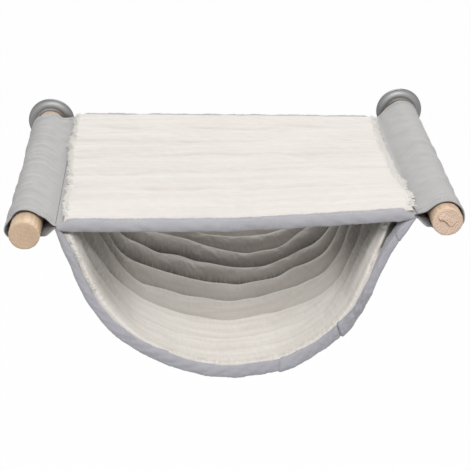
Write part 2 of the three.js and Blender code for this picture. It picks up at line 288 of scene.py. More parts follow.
def cloth_shell(name, middle, thickness, uv, shade=None):
    """A closed shell about a cloth's middle surface, a grid of points: its two faces lie half the
    thickness to each side along the normals, and its edges stand out by a share of the thickness. Shade
    is two grids, one for each face, of the shade painted on it."""
    edge_share = 0.35
    down, across = np.gradient(middle, axis=0), np.gradient(middle, axis=1)
    out = unit(np.cross(down, across))
    thick = np.broadcast_to(np.asarray(thickness, float), middle.shape[:2])[..., None]
    first = middle[:, :1] - unit(across[:, :1]) * thick[:, :1] * edge_share
    last = middle[:, -1:] + unit(across[:, -1:]) * thick[:, -1:] * edge_share
    top, bottom = middle + out * thick / 2, middle - out * thick / 2
    rows = np.concatenate([first, top, last, bottom[:, ::-1], first], 1)
    flat = np.concatenate([first, middle, last, middle[:, ::-1], first], 1)
    ahead = round_both_faces(down, down)
    start = flat[:1] - unit(ahead[:1]) * thick[:1, :1] * edge_share
    end = flat[-1:] + unit(ahead[-1:]) * thick[-1:, :1] * edge_share
    maps = [round_both_faces(uv, uv)]
    if shade is not None:
        maps.append(round_both_faces(*(np.stack([face, 0 * face], -1) for face in shade)))
    maps = [np.concatenate([grid[:1], grid, grid[-1:]]) for grid in maps]
    return surface(name, np.concatenate([start, rows, end]), *maps)


# ---------------------------------------------------------------- finishes


def add_node(tree, kind, inputs=None, **settings):
    """A node with its settings, and with each of its inputs set to a value or linked to a socket."""
    made = tree.nodes.new(kind)
    for name, value in settings.items():
        setattr(made, name, value)
    for socket, value in (inputs or {}).items():
        if isinstance(value, bpy.types.NodeSocket):
            tree.links.new(value, made.inputs[socket])
        else:
            made.inputs[socket].default_value = value
    return made


def srgb(red, green, blue):
    """A colour as the screen shows it, 0 to 255, as the linear one that shaders take."""
    share = np.array([red, green, blue]) / 255
    linear = np.where(share <= 0.04045, share / 12.92, ((share + 0.055) / 1.055) ** 2.4)
    return (*[float(x) for x in linear], 1.0)


def start_finish(name, **values):
    """A new material, with its node tree and its shader, whose sockets are set to the values."""
    material = bpy.data.materials.new(name)
    material.use_nodes = True
    tree = material.node_tree
    shader = tree.nodes["Principled BSDF"]
    for socket, value in values.items():
        shader.inputs[socket.replace("_", " ").title()].default_value = value
    return material, tree, shader


def end_finish(finish, colour, height, distance, strength):
    """Gives a started material its colour and its relief."""
    material, tree, shader = finish
    tree.links.new(colour, shader.inputs["Base Color"])
    relief = add_node(tree, "ShaderNodeBump", {"Height": height, "Distance": distance, "Strength": strength})
    tree.links.new(relief.outputs[0], shader.inputs["Normal"])
    return material


def noise(tree, place, scale, detail=2.0, roughness=0.5, stretch=(1, 1, 1)):
    """Noise, stretched along an axis where its share there is small."""
    mapped = add_node(tree, "ShaderNodeMapping", {"Vector": place, "Scale": stretch})
    inputs = {"Vector": mapped.outputs[0], "Scale": scale, "Detail": detail, "Roughness": roughness}
    return add_node(tree, "ShaderNodeTexNoise", inputs).outputs["Fac"]


def bands(tree, place, period, turn, distortion=0.0):
    """Even bands with that period in metres, turned by degrees in the plane of the first two coordinates."""
    mapped = add_node(tree, "ShaderNodeMapping", {"Vector": place, "Rotation": (0, 0, math.radians(turn))})
    scale = TURN / 20 / period
    inputs = {"Vector": mapped.outputs[0], "Scale": scale, "Distortion": distortion, "Detail": 2.0}
    return add_node(tree, "ShaderNodeTexWave", inputs).outputs["Fac"]


def math_node(tree, operation, first, second):
    """What an operation makes of two values."""
    return add_node(tree, "ShaderNodeMath", {0: first, 1: second}, operation=operation).outputs[0]


def summed(tree, *terms):
    """The sum of values, each times its weight."""
    total = None
    for value, weight in terms:
        term = value if weight == 1 else math_node(tree, "MULTIPLY", value, weight)
        total = term if total is None else math_node(tree, "ADD", total, term)
    return total


def ramp(tree, factor, low, high):
    """0 below low and 1 above high."""
    inputs = {"Value": factor, "From Min": low, "From Max": high}
    return add_node(tree, "ShaderNodeMapRange", inputs).outputs[0]


def mixed(tree, factor, first, second, blend="MIX"):
    """A mix of two colours."""
    inputs = {"Factor": factor, 6: first, 7: second}
    return add_node(tree, "ShaderNodeMix", inputs, data_type="RGBA", blend_type=blend).outputs[2]


def cloth_uv(tree):
    """The uv in metres over a cloth or a turned piece."""
    return add_node(tree, "ShaderNodeUVMap", uv_map="cloth").outputs[0]


def painted_fold_shade(tree):
    """How much shade is painted on a spot, from the first coordinate of the pile map."""
    pile = add_node(tree, "ShaderNodeUVMap", uv_map="pile").outputs[0]
    return add_node(tree, "ShaderNodeSeparateXYZ", {0: pile}).outputs[0]


def suede_finish(name, light, dark, period, depth, cross=0.85, painted_crease_shade=False):
    """Grey woven cloth with a suede hand: two sets of diagonal threads cross, fine nap blurs them, and
    the tone drifts over a hand's width. Where asked for, shade is painted into its creases and
    grooves by the pile map."""
    finish = start_finish(name, roughness=0.9, sheen_weight=0.2, sheen_roughness=0.5)
    tree = finish[1]
    place = cloth_uv(tree)
    one, other = bands(tree, place, period, 38, 0.6), bands(tree, place, period * cross, -52, 0.6)
    height = summed(tree, (math_node(tree, "MULTIPLY", one, other), 1), (noise(tree, place, 1400, 3), 0.4))
    tone = summed(tree, (noise(tree, place, 22, 4), 0.7), (height, 1))
    colour = mixed(tree, ramp(tree, tone, 0.3, 1.3), dark, light)
    if painted_crease_shade:
        # painted shade: creases, grooves and shaded parts darken towards this grey by the pile map
        colour = mixed(tree, painted_fold_shade(tree), colour, srgb(46, 45, 50))
    return end_finish(finish, colour, height, depth, 0.6)


def plush_finish(name, light, dark, comb, painted_shade_keeps=1.0):
    """Short cream pile: fine fibres combed one way, small clumps and soft streaks. Shade is painted into
    the folds by the pile map, broken up by the fibres. The last argument is what painted shade leaves
    of the colour there."""
    finish = start_finish(name, roughness=1.0, sheen_weight=0.3, sheen_roughness=0.6)
    tree = finish[1]
    place = cloth_uv(tree)
    across = comb == "u"
    fibres = noise(tree, place, 900, 3, 0.65, (0.1, 1, 1) if across else (1, 0.1, 1))
    clumps = noise(tree, place, 260, 3, 0.6, (0.3, 1, 1) if across else (1, 0.3, 1))
    streaks = noise(tree, place, 70 if across else 150, 3, 0.6, (0.05, 1, 1))
    height = summed(tree, (fibres, 0.5), (clumps, 0.5))
    tone = summed(tree, (height, 1), (streaks, 1), (noise(tree, place, 9, 2), 0.5))
    colour = mixed(tree, ramp(tree, tone, 0.9, 1.6), dark, light)
    # painted shade: the pile map darkens folds and shaded hollows towards the last argument's share of the
    # colour
    if painted_shade_keeps < 1:
        deep = math_node(tree, "MULTIPLY", painted_fold_shade(tree), math_node(tree, "MULTIPLY", height, 2.0))
        shade = mixed(tree, deep, (1, 1, 1, 1), (painted_shade_keeps, painted_shade_keeps * 0.97, painted_shade_keeps * 0.94, 1))
        colour = mixed(tree, 1.0, colour, shade, "MULTIPLY")
    return end_finish(finish, colour, height, 0.0009, 0.7)


def pine_finish(name, light, dark, cut):
    """Bare pine: growth rings about a heart that lies off the pole's axis, pushed about by noise. They
    show as rings on a cut end and as long grain on the side."""
    ring_width = 0.0024
    finish = start_finish(name, roughness=0.62)
    tree = finish[1]
    place = add_node(tree, "ShaderNodeAttribute", attribute_name="grain").outputs["Vector"]
    warp = add_node(tree, "ShaderNodeTexNoise", {"Vector": place, "Scale": 55.0, "Detail": 3.0})
    moved = warp.outputs["Color"]
    for operation, other in (("SUBTRACT", (0.5, 0.5, 0.5)), ("MULTIPLY", (0.004, 0, 0.004)), ("ADD", place)):
        moved = add_node(tree, "ShaderNodeVectorMath", {0: moved, 1: other}, operation=operation).outputs[0]
    rings = add_node(
        tree,
        "ShaderNodeTexWave",
        {"Vector": moved, "Scale": TURN / 20 / ring_width, "Distortion": 0.0},
        wave_type="RINGS",
        rings_direction="Y",
    ).outputs["Fac"]
    rings = ramp(tree, rings, 0.35, 1.0)
    pores = noise(tree, place, 1500 if cut else 900, 2, 0.6, (1, 1, 1) if cut else (1, 0.03, 1))
    drift = noise(tree, place, 40, 3, 0.5, (1, 0.15, 1))
    tone = summed(tree, (rings, 0.2 if cut else 0.5), (pores, 0.7 if cut else 0.5), (drift, 0.5))
    colour = mixed(tree, ramp(tree, tone, 0.3, 1.1), light, dark)
    return end_finish(finish, colour, tone, 0.0004 if cut else 0.00012, 0.5)


# Where a dish's steel turns darker towards its rim, in metres along its profile
DISH_RIM_AT = (0.0255, 0.030)


def steel_finish(name, tint, roughness, turned_work):
    """Bare steel. Turned work has fine rings round its axis from the uv's second coordinate and is darker
    towards its rim, and plated work has faint grains."""
    finish = start_finish(name, metallic=1.0, roughness=roughness)
    tree = finish[1]
    if turned_work:
        place = cloth_uv(tree)
        marks = noise(tree, place, 900, 3, 0.6, (0.01, 1, 1))
        wear = noise(tree, place, 260, 3, 0.6, (0.12, 1, 1))
        run = add_node(tree, "ShaderNodeSeparateXYZ", {0: place}).outputs[1]
        tone = summed(tree, (marks, 0.6), (wear, 0.4), (ramp(tree, run, *DISH_RIM_AT), -0.14))
    else:
        place = add_node(tree, "ShaderNodeTexCoord").outputs["Object"]
        marks = noise(tree, place, 1800, 2)
        wear = noise(tree, place, 160, 3, 0.6)
        tone = summed(tree, (marks, 0.6), (wear, 0.4))
    dark = tuple(x * 0.55 for x in tint[:3]) + (1.0,)
    colour = mixed(tree, ramp(tree, tone, 0.34, 0.62), dark, tint)
    span = {"From Min": 0.3, "From Max": 0.7, "To Min": roughness - 0.06, "To Max": roughness + 0.1}
    rough = add_node(tree, "ShaderNodeMapRange", {"Value": wear, **span}).outputs[0]
    tree.links.new(rough, finish[2].inputs["Roughness"])
    return end_finish(finish, colour, marks, 0.00015, 0.6)


def thread_finish(name, light, dark):
    """Sewing thread: two plies twisted round each other."""
    finish = start_finish(name, roughness=0.75, sheen_weight=0.2)
    twist = bands(finish[1], cloth_uv(finish[1]), 0.0009, 35)
    return end_finish(finish, mixed(finish[1], twist, dark, light), twist, 0.0001, 0.5)


# The sleeves and the cave's rim take shade painted in their creases and grooves from the pile map
SLEEVE_SUEDE = suede_finish(
    "suede_sleeves", srgb(195, 194, 192), srgb(178, 177, 176), 0.0014, 0.0002, painted_crease_shade=True
)
TAPE_SUEDE = suede_finish(
    "suede_binding", srgb(206, 205, 209), srgb(160, 158, 165), 0.0021, 0.0006, cross=0.6
)
RIM_SUEDE = suede_finish(
    "suede_rim", srgb(201, 200, 206), srgb(168, 167, 175), 0.0016, 0.0003, painted_crease_shade=True
)
SHELL_SUEDE = suede_finish("suede_shell", srgb(192, 191, 192), srgb(168, 167, 170), 0.0018, 0.0003)
# The last argument is what painted shade leaves of the colour: a little on the lounge, much in the cave
LOUNGE_PLUSH = plush_finish("plush_lounge", srgb(244, 238, 231), srgb(228, 221, 214), "u", painted_shade_keeps=0.9)
CAVE_PLUSH = plush_finish("plush_cave", srgb(250, 246, 238), srgb(228, 220, 211), "v", painted_shade_keeps=0.14)
TUFT_PLUSH = plush_finish("plush_tufts", srgb(252, 249, 243), srgb(242, 237, 230), "v")
PINE_SIDE = pine_finish("pine_side", srgb(240, 214, 187), srgb(222, 188, 154), cut=False)
PINE_END = pine_finish("pine_end_grain", srgb(229, 202, 174), srgb(196, 165, 135), cut=True)
PINE_SPLIT_END = pine_finish("pine_split_end_grain", srgb(244, 219, 198), srgb(208, 179, 157), cut=True)
SPUN_STEEL = steel_finish("spun_steel", srgb(158, 158, 158), 0.54, turned_work=True)
ZINC_STEEL = steel_finish("zinc_steel", srgb(190, 193, 196), 0.42, turned_work=False)
SEAM_THREAD = thread_finish("grey_thread", srgb(150, 148, 156), srgb(104, 103, 112))
HEM_THREAD = thread_finish("pale_thread", srgb(190, 189, 188), srgb(160, 159, 160))


# ---------------------------------------------------------------- camera, light and floor


def photo_camera():
    """A camera with the photograph's viewpoint: yaw and pitch give the way it looks, and the roll turns
    its picture."""
    yaw, pitch, roll = (math.radians(x) for x in (1.89, 26.14, -1.05))
    ahead = Vector((math.sin(yaw) * math.cos(pitch), math.cos(yaw) * math.cos(pitch), -math.sin(pitch)))
    level = Vector((math.cos(yaw), -math.sin(yaw), 0))
    upright = level.cross(ahead)
    right = math.cos(roll) * level + math.sin(roll) * upright
    top = math.cos(roll) * upright - math.sin(roll) * level
    lens = bpy.data.cameras.new("photo_camera")
    lens.sensor_width = 36
    lens.lens = 98.2
    lens.clip_start, lens.clip_end = 0.05, 60
    camera = linked("photo_camera", lens)
    turn = Matrix((right, top, -ahead)).transposed().to_4x4()
    camera.matrix_world = Matrix.Translation((-0.045, -1.652, 0.627)) @ turn
    bpy.context.scene.camera = camera


def light_up():
    """A soft dome, one large soft lamp high in front, and a weaker low one behind, which reaches into the
    cave. What looks straight at the world, or sees it in steel, sees white. A lamp is a share of the
    light on a white page, degrees up, degrees round from the front to the right, size and distance."""
    world = bpy.data.worlds.new("studio")
    world.use_nodes = True
    bpy.context.scene.world = world
    tree = world.node_tree
    tree.nodes.clear()
    path = add_node(tree, "ShaderNodeLightPath")
    seen = math_node(tree, "MAXIMUM", path.outputs["Is Camera Ray"], path.outputs["Is Glossy Ray"])
    seen = math_node(tree, "MAXIMUM", seen, path.outputs["Is Transmission Ray"])
    dome = add_node(tree, "ShaderNodeBackground", {"Color": (1, 1, 1, 1), "Strength": 0.36})
    white = add_node(tree, "ShaderNodeBackground", {"Color": (1, 1, 1, 1), "Strength": 1.0})
    both = add_node(tree, "ShaderNodeMixShader", {0: seen, 1: dome.outputs[0], 2: white.outputs[0]})
    add_node(tree, "ShaderNodeOutputWorld", {"Surface": both.outputs[0]})
    aim = Vector((0, -0.18, -0.08))
    for name, share, height, side, size, distance in (
        ("front_lamp", 0.64, 48, 3, (1.5, 1.2), 2.4),
        ("rear_lamp", 0.5, 24, 176, (1.2, 0.8), 2.2),
    ):
        lamp = bpy.data.lights.new(name, "AREA")
        lamp.shape = "RECTANGLE"
        lamp.size, lamp.size_y = size
        lamp.energy = share * math.pi**2 * distance**2
        up, round_by = math.radians(height), math.radians(side)
        away = Vector((math.sin(round_by) * math.cos(up), -math.cos(round_by) * math.cos(up), math.sin(up)))
        place = linked(name, lamp)
        place.location = aim + away * distance
        place.rotation_mode = "QUATERNION"
        place.rotation_quaternion = away.to_track_quat("Z", "Y")


def lay_floor():
    """A plain pale floor, well below the bed. It is white to the camera, apart from the bed's shadow."""
    mesh = bpy.data.meshes.new("floor")
    half, low = 9.0, -1.4
    corners = [(-half, -half, low), (half, -half, low), (half, half, low), (-half, half, low)]
    mesh.from_pydata(corners, [], [(0, 1, 2, 3)])
    floor = linked("floor", mesh)
    material, tree, shader = start_finish("pale_floor", roughness=0.9, base_color=(0.8, 0.8, 0.8, 1))
    path = add_node(tree, "ShaderNodeLightPath")
    glow = add_node(tree, "ShaderNodeEmission", {"Color": (1, 1, 1, 1), "Strength": 1.0})
    seen = math_node(tree, "MULTIPLY", path.outputs["Is Camera Ray"], 0.985)
    seen = math_node(tree, "MAXIMUM", seen, math_node(tree, "MULTIPLY", path.outputs["Is Glossy Ray"], 0.7))
    both = add_node(tree, "ShaderNodeMixShader", {0: seen, 1: shader.outputs[0], 2: glow.outputs[0]})
    tree.links.new(both.outputs[0], tree.nodes["Material Output"].inputs["Surface"])
    mesh.materials.append(material)


bpy.context.scene.view_settings.view_transform = "Standard"
photo_camera()
light_up()
lay_floor()


# ---------------------------------------------------------------- poles, dishes and screws


def turned(profile, sides, x, shape=None):
    """A profile of [radius, depth] carried round a line that runs straight out from the wall: a point is
    its radius times the cosine and sine of the angle. The uv is the arc round the axis and the run along
    the profile. Shape may move the points, given their angle, radius and depth."""
    arc_radius = 30
    profile = np.asarray(profile, float)
    around = np.linspace(0, TURN, sides + 1)[None]
    around, radius, depth = np.broadcast_arrays(around, profile[:, :1], profile[:, 1:])
    if shape:
        radius, depth = shape(around, radius, depth)
    points = np.stack([x + radius * np.cos(around), -depth, radius * np.sin(around)], -1)
    run = np.broadcast_to(line_run(profile)[:, None], radius.shape)
    return points, np.stack([around * arc_radius, run], -1)


def rounded(corner_points, radius, steps):
    """A 2-D outline with each inner corner replaced by a short curve, which starts and ends at that
    distance from the corner and is drawn towards it."""
    points = np.asarray(corner_points, float)
    made = [points[:1]]
    share = np.linspace(0, 1, steps + 1)[:, None]
    for before, corner, after in zip(points, points[1:], points[2:]):
        start, end = (
            corner + unit(other - corner) * min(radius, 0.45 * np.linalg.norm(other - corner))
            for other in (before, after)
        )
        made.append((1 - share) ** 2 * start + 2 * share * (1 - share) * corner + share**2 * end)
    made.append(points[-1:])
    return np.concatenate(made)


def spread(profile, spacing):
    """The same outline with more points on its long straight runs."""
    made = [profile[:1]]
    for start, end in zip(profile, profile[1:]):
        count = max(int(np.linalg.norm(end - start) / spacing), 1)
        made.append(start + (end - start) * (np.arange(1, count + 1) / count)[:, None])
    return np.concatenate(made)


def split_end(around, radius, depth, side):
    """The depths of a pole with a sawn front end that is a little rough. Grooves follow lines across it,
    each a bell over the distance off its line. The left end has two. The right one has split across:
    above one long crack a wedge is lifted, with frayed fibres and a second crack."""
    across, up = radius * np.cos(around), radius * np.sin(around)
    front = smooth_step(POLE_END - 0.6, POLE_END, depth)
    front = front * smooth_step(POLE_RADIUS - 0.5, POLE_RADIUS - 3, radius)
    rough = 0.12 * ripples(5 + side, across, up, 7) + 0.1 * ripples(8 + side, across, up, 2.4)
    if side > 0:
        along = across * 0.83 - up * 0.56
        off = up * 0.83 + across * 0.56 + 2.2 + 0.7 * np.sin(along * 0.45) + 0.4 * ripples(13, along, up, 6)
        window = smooth_step(-13.5, -10, along) * smooth_step(10, 4, along)
        lifted = 1.9 * smooth_step(0.2, 1.6, off) * smooth_step(10.5, 1.2, off)
        crack = 1.8 * bell(off, -0.2, 0.6) * smooth_step(5, 1, along)
        second = 0.9 * bell(off, 3.4 + 0.2 * along, 0.5) * smooth_step(-5, 0, along)
        fibres = 0.8 * (0.5 + 0.5 * ripples(17, along * 0.3, off, 3.2, 10)) * bell(off, 4, 5)
        rough = 2.2 * rough + window * (lifted - crack - second + fibres)
    else:
        along = across * 0.3 + up * 0.95
        off = across * 0.95 - up * 0.3 - 2.5 + 0.5 * np.sin(along * 0.5)
        upper = 0.7 * bell(off, 0, 0.45) * smooth_step(-1, 3, along) * smooth_step(14, 10, along)
        lower = 0.5 * bell(off, -6, 0.4) * smooth_step(-12, -9, along) * smooth_step(3, -1, along)
        rough = 1.2 * rough - upper - lower
    return depth + front * rough


def make_pole(name, side):
    """A turned pine pole: flat sawn ends with eased edges, a bore for the threaded insert behind, and a
    girth that wanders by a tenth of a millimetre."""
    rim = POLE_RADIUS - POLE_EDGE
    profile = [[0, POLE_END], [rim, POLE_END], [POLE_RADIUS, POLE_END - POLE_EDGE]]
    profile += [[POLE_RADIUS, POLE_START + POLE_EDGE], [rim, POLE_START], [INSERT_HOLE, POLE_START]]
    profile += [[INSERT_HOLE, INSERT_POCKET], [STUD_HOLE, INSERT_POCKET]]
    profile = rounded(profile + [[STUD_HOLE, STUD_POCKET], [0, STUD_POCKET]], 1.0, 4)
    last = np.flatnonzero(profile[:, 1] > POLE_END - 0.001)[-1]
    face = np.stack([np.linspace(0, profile[last, 0], 44), np.full(44, POLE_END)], -1)
    profile = np.concatenate([face, spread(profile[last:], 9)[1:]])

    def shape(around, radius, depth):
        """The pole's radii and depths, with its wander, its worn front edge and its sawn end."""
        outside = smooth_step(POLE_RADIUS - 2, POLE_RADIUS, radius)
        across, up = 6 * np.cos(around), 6 * np.sin(around)
        wander = 0.1 * ripples(3 + side, across + depth / 23, up + depth / 31, 9)
        worn = 0.3 * bell(depth, POLE_END, 2.2) * ripples(11 + side, across * 1.6, up * 1.6, 9)
        return radius + outside * (wander + worn), split_end(around, radius, depth, side)

    x = side * POLE_X
    mesh = surface(name, *turned(profile, 112, x, shape))
    heart = np.array([x - side * 5.0, side * 40.0, -7.0]) * MM
    grain = mesh.attributes.new("grain", "FLOAT_VECTOR", "POINT")
    grain.data.foreach_set("vector", (read_vectors(mesh.vertices, "co") - heart).astype(np.float32).ravel())
    piece = add_piece(mesh, "frame", PINE_SIDE, 40)
    mesh.materials.append(PINE_SPLIT_END if side > 0 else PINE_END)
    across, y, up = (read_vectors(mesh.polygons, "center") / MM).T
    on_face = np.hypot(across - x, up) < POLE_RADIUS - 0.9
    near_end = (y < -350) | (y > -20)
    mesh.polygons.foreach_set("material_index", (on_face & near_end).astype(np.int32))
    return piece


def make_dish(name, side):
    """A spun steel dish: a rolled rim on the wall, a quarter of an ellipse forward, and a flat land with
    a faint step and a bead round its edge."""
    rim, land, wall, depth, rise = 31.0, 22.0, 1.4, 10.0, 2.2
    angle = np.linspace(0, math.pi / 2, 26)

    def curve(inset):
        """The quarter of an ellipse, that far inside the dish's outer face."""
        out = land + (rim - inset - land) * np.sin(angle)
        return np.stack([out, rise + (depth - inset - rise) * np.cos(angle)], -1)

    face = [[STUD_HOLE, depth], [18.9, depth], [19.5, depth - 0.35], [21, depth - 0.35]]
    foot = [[rim, 0.7], [rim - 0.4, 0.1], [rim - 1.0, 0.1], [rim - wall, 0.7]]
    inner = [[STUD_HOLE, depth - wall]]
    profile = spread(np.concatenate([face, curve(0)[1:], foot, curve(wall)[::-1], inner, face[:1]]), 1.5)
    mesh = surface(name, *turned(profile, 144, side * POLE_X))
    return add_piece(mesh, "frame", SPUN_STEEL, 32)


def threaded(length, radius, pitch, depth, sides, taper):
    """A threaded shank's radii and its runs from the head. A ridge winds round it: the radius falls by
    the thread's depth between turns, and to nothing over the taper at its tip."""
    along = np.linspace(0, length, int(length / pitch * 7) + 1)[:, None]
    phase = (along / pitch - np.linspace(0, 1, sides + 1)) % 1.0
    cut = depth * (1 - (np.abs(phase - 0.5) * 2) ** 2.2) * smooth_step(0, pitch * 1.5, along)
    slender = np.clip((length - along) / taper, 0.03, 1) ** 0.8
    return (radius - cut) * slender, np.broadcast_to(along, cut.shape)


def add_fastener(name, x, z, head, shank, tip, arc, sharp):
    """A plated fastener that points straight at the wall. Head and shank are each the radii and depths of
    their rows of points, and the tip is how far past the last row it closes."""
    radii = np.concatenate([head[0], shank[0], 0 * shank[0][:1]])
    depths = np.concatenate([head[1], shank[1], shank[1][-1:] + tip])
    turns = np.broadcast_to(np.linspace(0, TURN, radii.shape[1]), radii.shape)
    points = np.stack([x + radii * np.cos(turns), -depths, z + radii * np.sin(turns)], -1)
    mesh = surface(name, points, np.stack([turns * arc, depths], -1))
    return add_piece(mesh, "frame", ZINC_STEEL, sharp)


def make_wall_screw(name, side, angle):
    """A pan-head wood screw through the plate into the wall, with a cross recess in its head."""
    seat, sides, circle = 4.3, 24, 16.5
    shank, along = threaded(length=40.0, radius=2.0, pitch=1.8, depth=0.55, sides=sides, taper=7)
    share = np.linspace(0, math.pi / 2, 15)
    dome = np.append(4.0 * np.sin(share), [4.0, 3.7, 2.6])[:, None]
    height = np.append(0.9 + 1.5 * np.cos(share) ** 0.8, [0.3, 0, 0])[:, None]
    turn = np.linspace(0, TURN, sides + 1)
    arm = np.minimum(np.abs(dome * np.cos(turn)), np.abs(dome * np.sin(turn)))
    recess = smooth_step(0.62, 0.3, arm) * smooth_step(2.6, 1.9, dome)
    height = height - 1.3 * recess * (np.arange(len(dome)) < 14)[:, None]
    head = np.broadcast_to(dome, height.shape), seat + height
    x, z = side * POLE_X + circle * math.cos(angle), circle * math.sin(angle)
    return add_fastener(name, x, z, head, (shank, seat - along), tip=-0.1, arc=3, sharp=50)


def make_stud(name, side):
    """An M8 stud: a countersunk head with a hexagonal socket behind, and a thread along the rest."""
    sides, socket = 36, 2.5
    shank, along = threaded(length=42.0, radius=4.0, pitch=1.25, depth=0.6, sides=sides, taper=1.6)
    turn = np.linspace(0, TURN, sides + 1)
    corner = socket / np.cos((turn + math.pi / 6) % (math.pi / 3) - math.pi / 6)
    wide = np.ones_like(turn)
    radii = [0 * wide, 0.6 * corner, corner, corner, 3.4 * wide, 6.6 * wide, 6.95 * wide, 4.05 * wide]
    head = np.stack(radii), np.outer([3.1, 3.1, 3.0, 0.35, 0.32, 0.32, 0.6, 3.3], wide)
    return add_fastener(name, side * POLE_X, 0, head, (shank, 3.35 + along), tip=0, arc=4, sharp=45)


for side, hand in ((-1, "left"), (1, "right")):
    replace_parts(make_pole(f"{hand}_pine_pole", side), f"{hand}_pole")
    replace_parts(make_dish(f"{hand}_spun_dish", side), f"{hand}_wall_dish")
    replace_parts(make_stud(f"{hand}_socket_stud", side), f"{hand}_stud")
    for i in range(3):
        screw = make_wall_screw(f"{hand}_pan_screw_{i + 1}", side, math.pi / 6 + TURN * i / 3)
        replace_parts(screw, f"{hand}_wall_screw_{i + 1}")
    for part in ("lock_nut", "wall_plate", "thread_insert"):
        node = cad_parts[f"{hand}_{part}"]
        node.data.materials.clear()
        node.data.materials.append(ZINC_STEEL)


# ---------------------------------------------------------------- the cover's shapes


def sling_section():
    """The sling's outside: the height of its round bottom's centre, the angle where a straight tangent to
    the seam leaves it, and the runs from the bottom to there and to the seam."""
    centre = SLING_RADIUS - SLING_DROP
    reach = math.hypot(SLING_HALF, SLING_TOP - centre)
    low = math.atan2(SLING_TOP - centre, SLING_HALF) - math.acos(SLING_RADIUS / reach)
    arc = (low + math.pi / 2) * SLING_RADIUS
    return centre, low, arc, arc + math.sqrt(reach**2 - SLING_RADIUS**2)


SLING_CENTRE, TANGENT_ANGLE, ARC_RUN, HALF_RUN = sling_section()


def sling_outline(run):
    """Points and inward normals of the sling's outside at a run along it, from 0 at the bottom and
    positive to the right: a round bottom, then a straight tangent up to each seam."""
    size, hand = np.abs(run), np.where(run < 0, -1.0, 1.0)
    angle = np.minimum(size, ARC_RUN) / SLING_RADIUS - math.pi / 2
    beyond = np.maximum(size - ARC_RUN, 0)
    x = SLING_RADIUS * np.cos(angle) - math.sin(TANGENT_ANGLE) * beyond
    z = SLING_CENTRE + SLING_RADIUS * np.sin(angle) + math.cos(TANGENT_ANGLE) * beyond
    return hand * x, z, -hand * np.cos(angle), -np.sin(angle)


def lowness(z):
    """1 at the sling's bottom and 0 at its seams."""
    return (SLING_TOP - z) / (SLING_TOP + SLING_DROP)


# How far the hung cloth sways to the left halfway up
SWAY = 6.0
# How far in the front rim is drawn, at runs across it from the left seam to the right one
HANG_RUNS = [
    -318, -240, -210, -190, -150, -110, -70, -30, 10, 36,
    54, 90, 150, 180, 200, 220, 250, 275, 295, 318,
]
HANG_IN = [0, 0, 2.2, 3.8, 6.2, 8.8, 7.8, 6, 4.8, 4, 0.8, 0.8, 2.2, 3, 5.6, 7.6, 8.2, 7.4, 4.8, 0]
# How far out the lounge's pile reaches, at depths along its left and right edges
EDGE_DEPTHS = [15, 60, 110, 150, 180, 240, 256, 285, 295, 320, 345]
EDGE_LEFT = [202, 202, 202, 202, 199.5, 196.5, 197, 197.5, 196.5, 195, 195]
EDGE_RIGHT = [200, 198, 195, 195, 196.5, 198.5, 203, 203, 204.5, 203, 202.5]


def askew(x, depth, z):
    """Points of the cover as it hangs on its poles. Towards its rear the left seam has ridden up and back
    to the wall, and the right one has slipped a little forward and down. Nothing moves at the front edge,
    on the poles, or low in the sling."""
    back = np.clip((COVER_END - depth) / COVER_DEPTH, 0, 1.05)
    left = np.clip(0.5 - x / (2 * SEAM_X), 0, 1)
    held = smooth_step(POLE_X - 14, SEAM_X - 2, np.abs(x)) * smooth_step(-170, -10, z)
    rise = back**1.3 * (8 * left - 2.5 * (1 - left)) * held
    shift = 8 * back * (1 - 2 * left) * held
    return np.stack([x, -(depth + shift), z + rise], -1)


def in_sling(run, depth, height):
    """Places points by their run across the sling, their depth from the wall and their height in from its
    outside. The layers thin towards the seams, the bottom rises towards the rear, the whole hangs a
    little to the left, and the front rim is drawn in."""
    x, z, inward_x, inward_z = sling_outline(run)
    fullness = SLING_SIDE_SHARE + (1 - SLING_SIDE_SHARE) * lowness(z)
    inwards = height * fullness + SWAY * np.sin(math.pi * run / HALF_RUN)
    inwards = inwards + np.interp(run, HANG_RUNS, HANG_IN) * smooth_step(235, 330, depth)
    x, z = x + inward_x * inwards, z + inward_z * inwards
    back = np.clip((COVER_END - depth) / COVER_DEPTH, 0, None)
    return askew(x, depth, z + SLING_REAR_RISE * back**SLING_RISE_CURVE * lowness(z))


def in_panel(x, depth, height):
    """Places points of the top panel by their height above its underside. The front edge hangs in the
    middle and is lifted a little at its ends."""
    sideways = np.abs(x / SEAM_X)
    forward = np.clip((depth - COVER_START) / COVER_DEPTH, 0, 1.1)
    sag = (PANEL_SAG * (1 - sideways**1.3) - 1.2 * sideways) * forward
    return askew(x, depth, height - PANEL_THICKNESS / 2 - sag)


# Depths of the seven crests that show in the sling, from the front one to the rear one, at runs across it
CREST_RUNS = np.array([-290, -240, -200, -160, -120, -80, -40, 0, 40, 80, 120, 160, 200, 240, 290])
CRESTS = [
    [322, 318, 312, 305, 299, 295, 293, 291, 291, 292, 294, 296, 292, 285, 280],
    [305, 290, 265, 247, 244, 241, 241, 246, 243, 250, 261, 268, 261, 236, 218],
    [246, 228, 221, 225, 209, 199, 203, 208, 206, 213, 222, 230, 218, 195, 180],
    [205, 203, 200, 186, 170, 165, 168, 171, 176, 177, 183, 192, 172, 152, 142],
    [170, 166, 161, 143, 129, 115, 124, 137, 144, 147, 147, 156, 146, 128, 116],
    [110, 108, 104, 96, 85, 73, 81, 96, 112, 116, 109, 103, 98, 90, 84],
    [66, 64, 60, 54, 50, 49, 57, 64, 71, 79, 76, 70, 64, 58, 54],
]
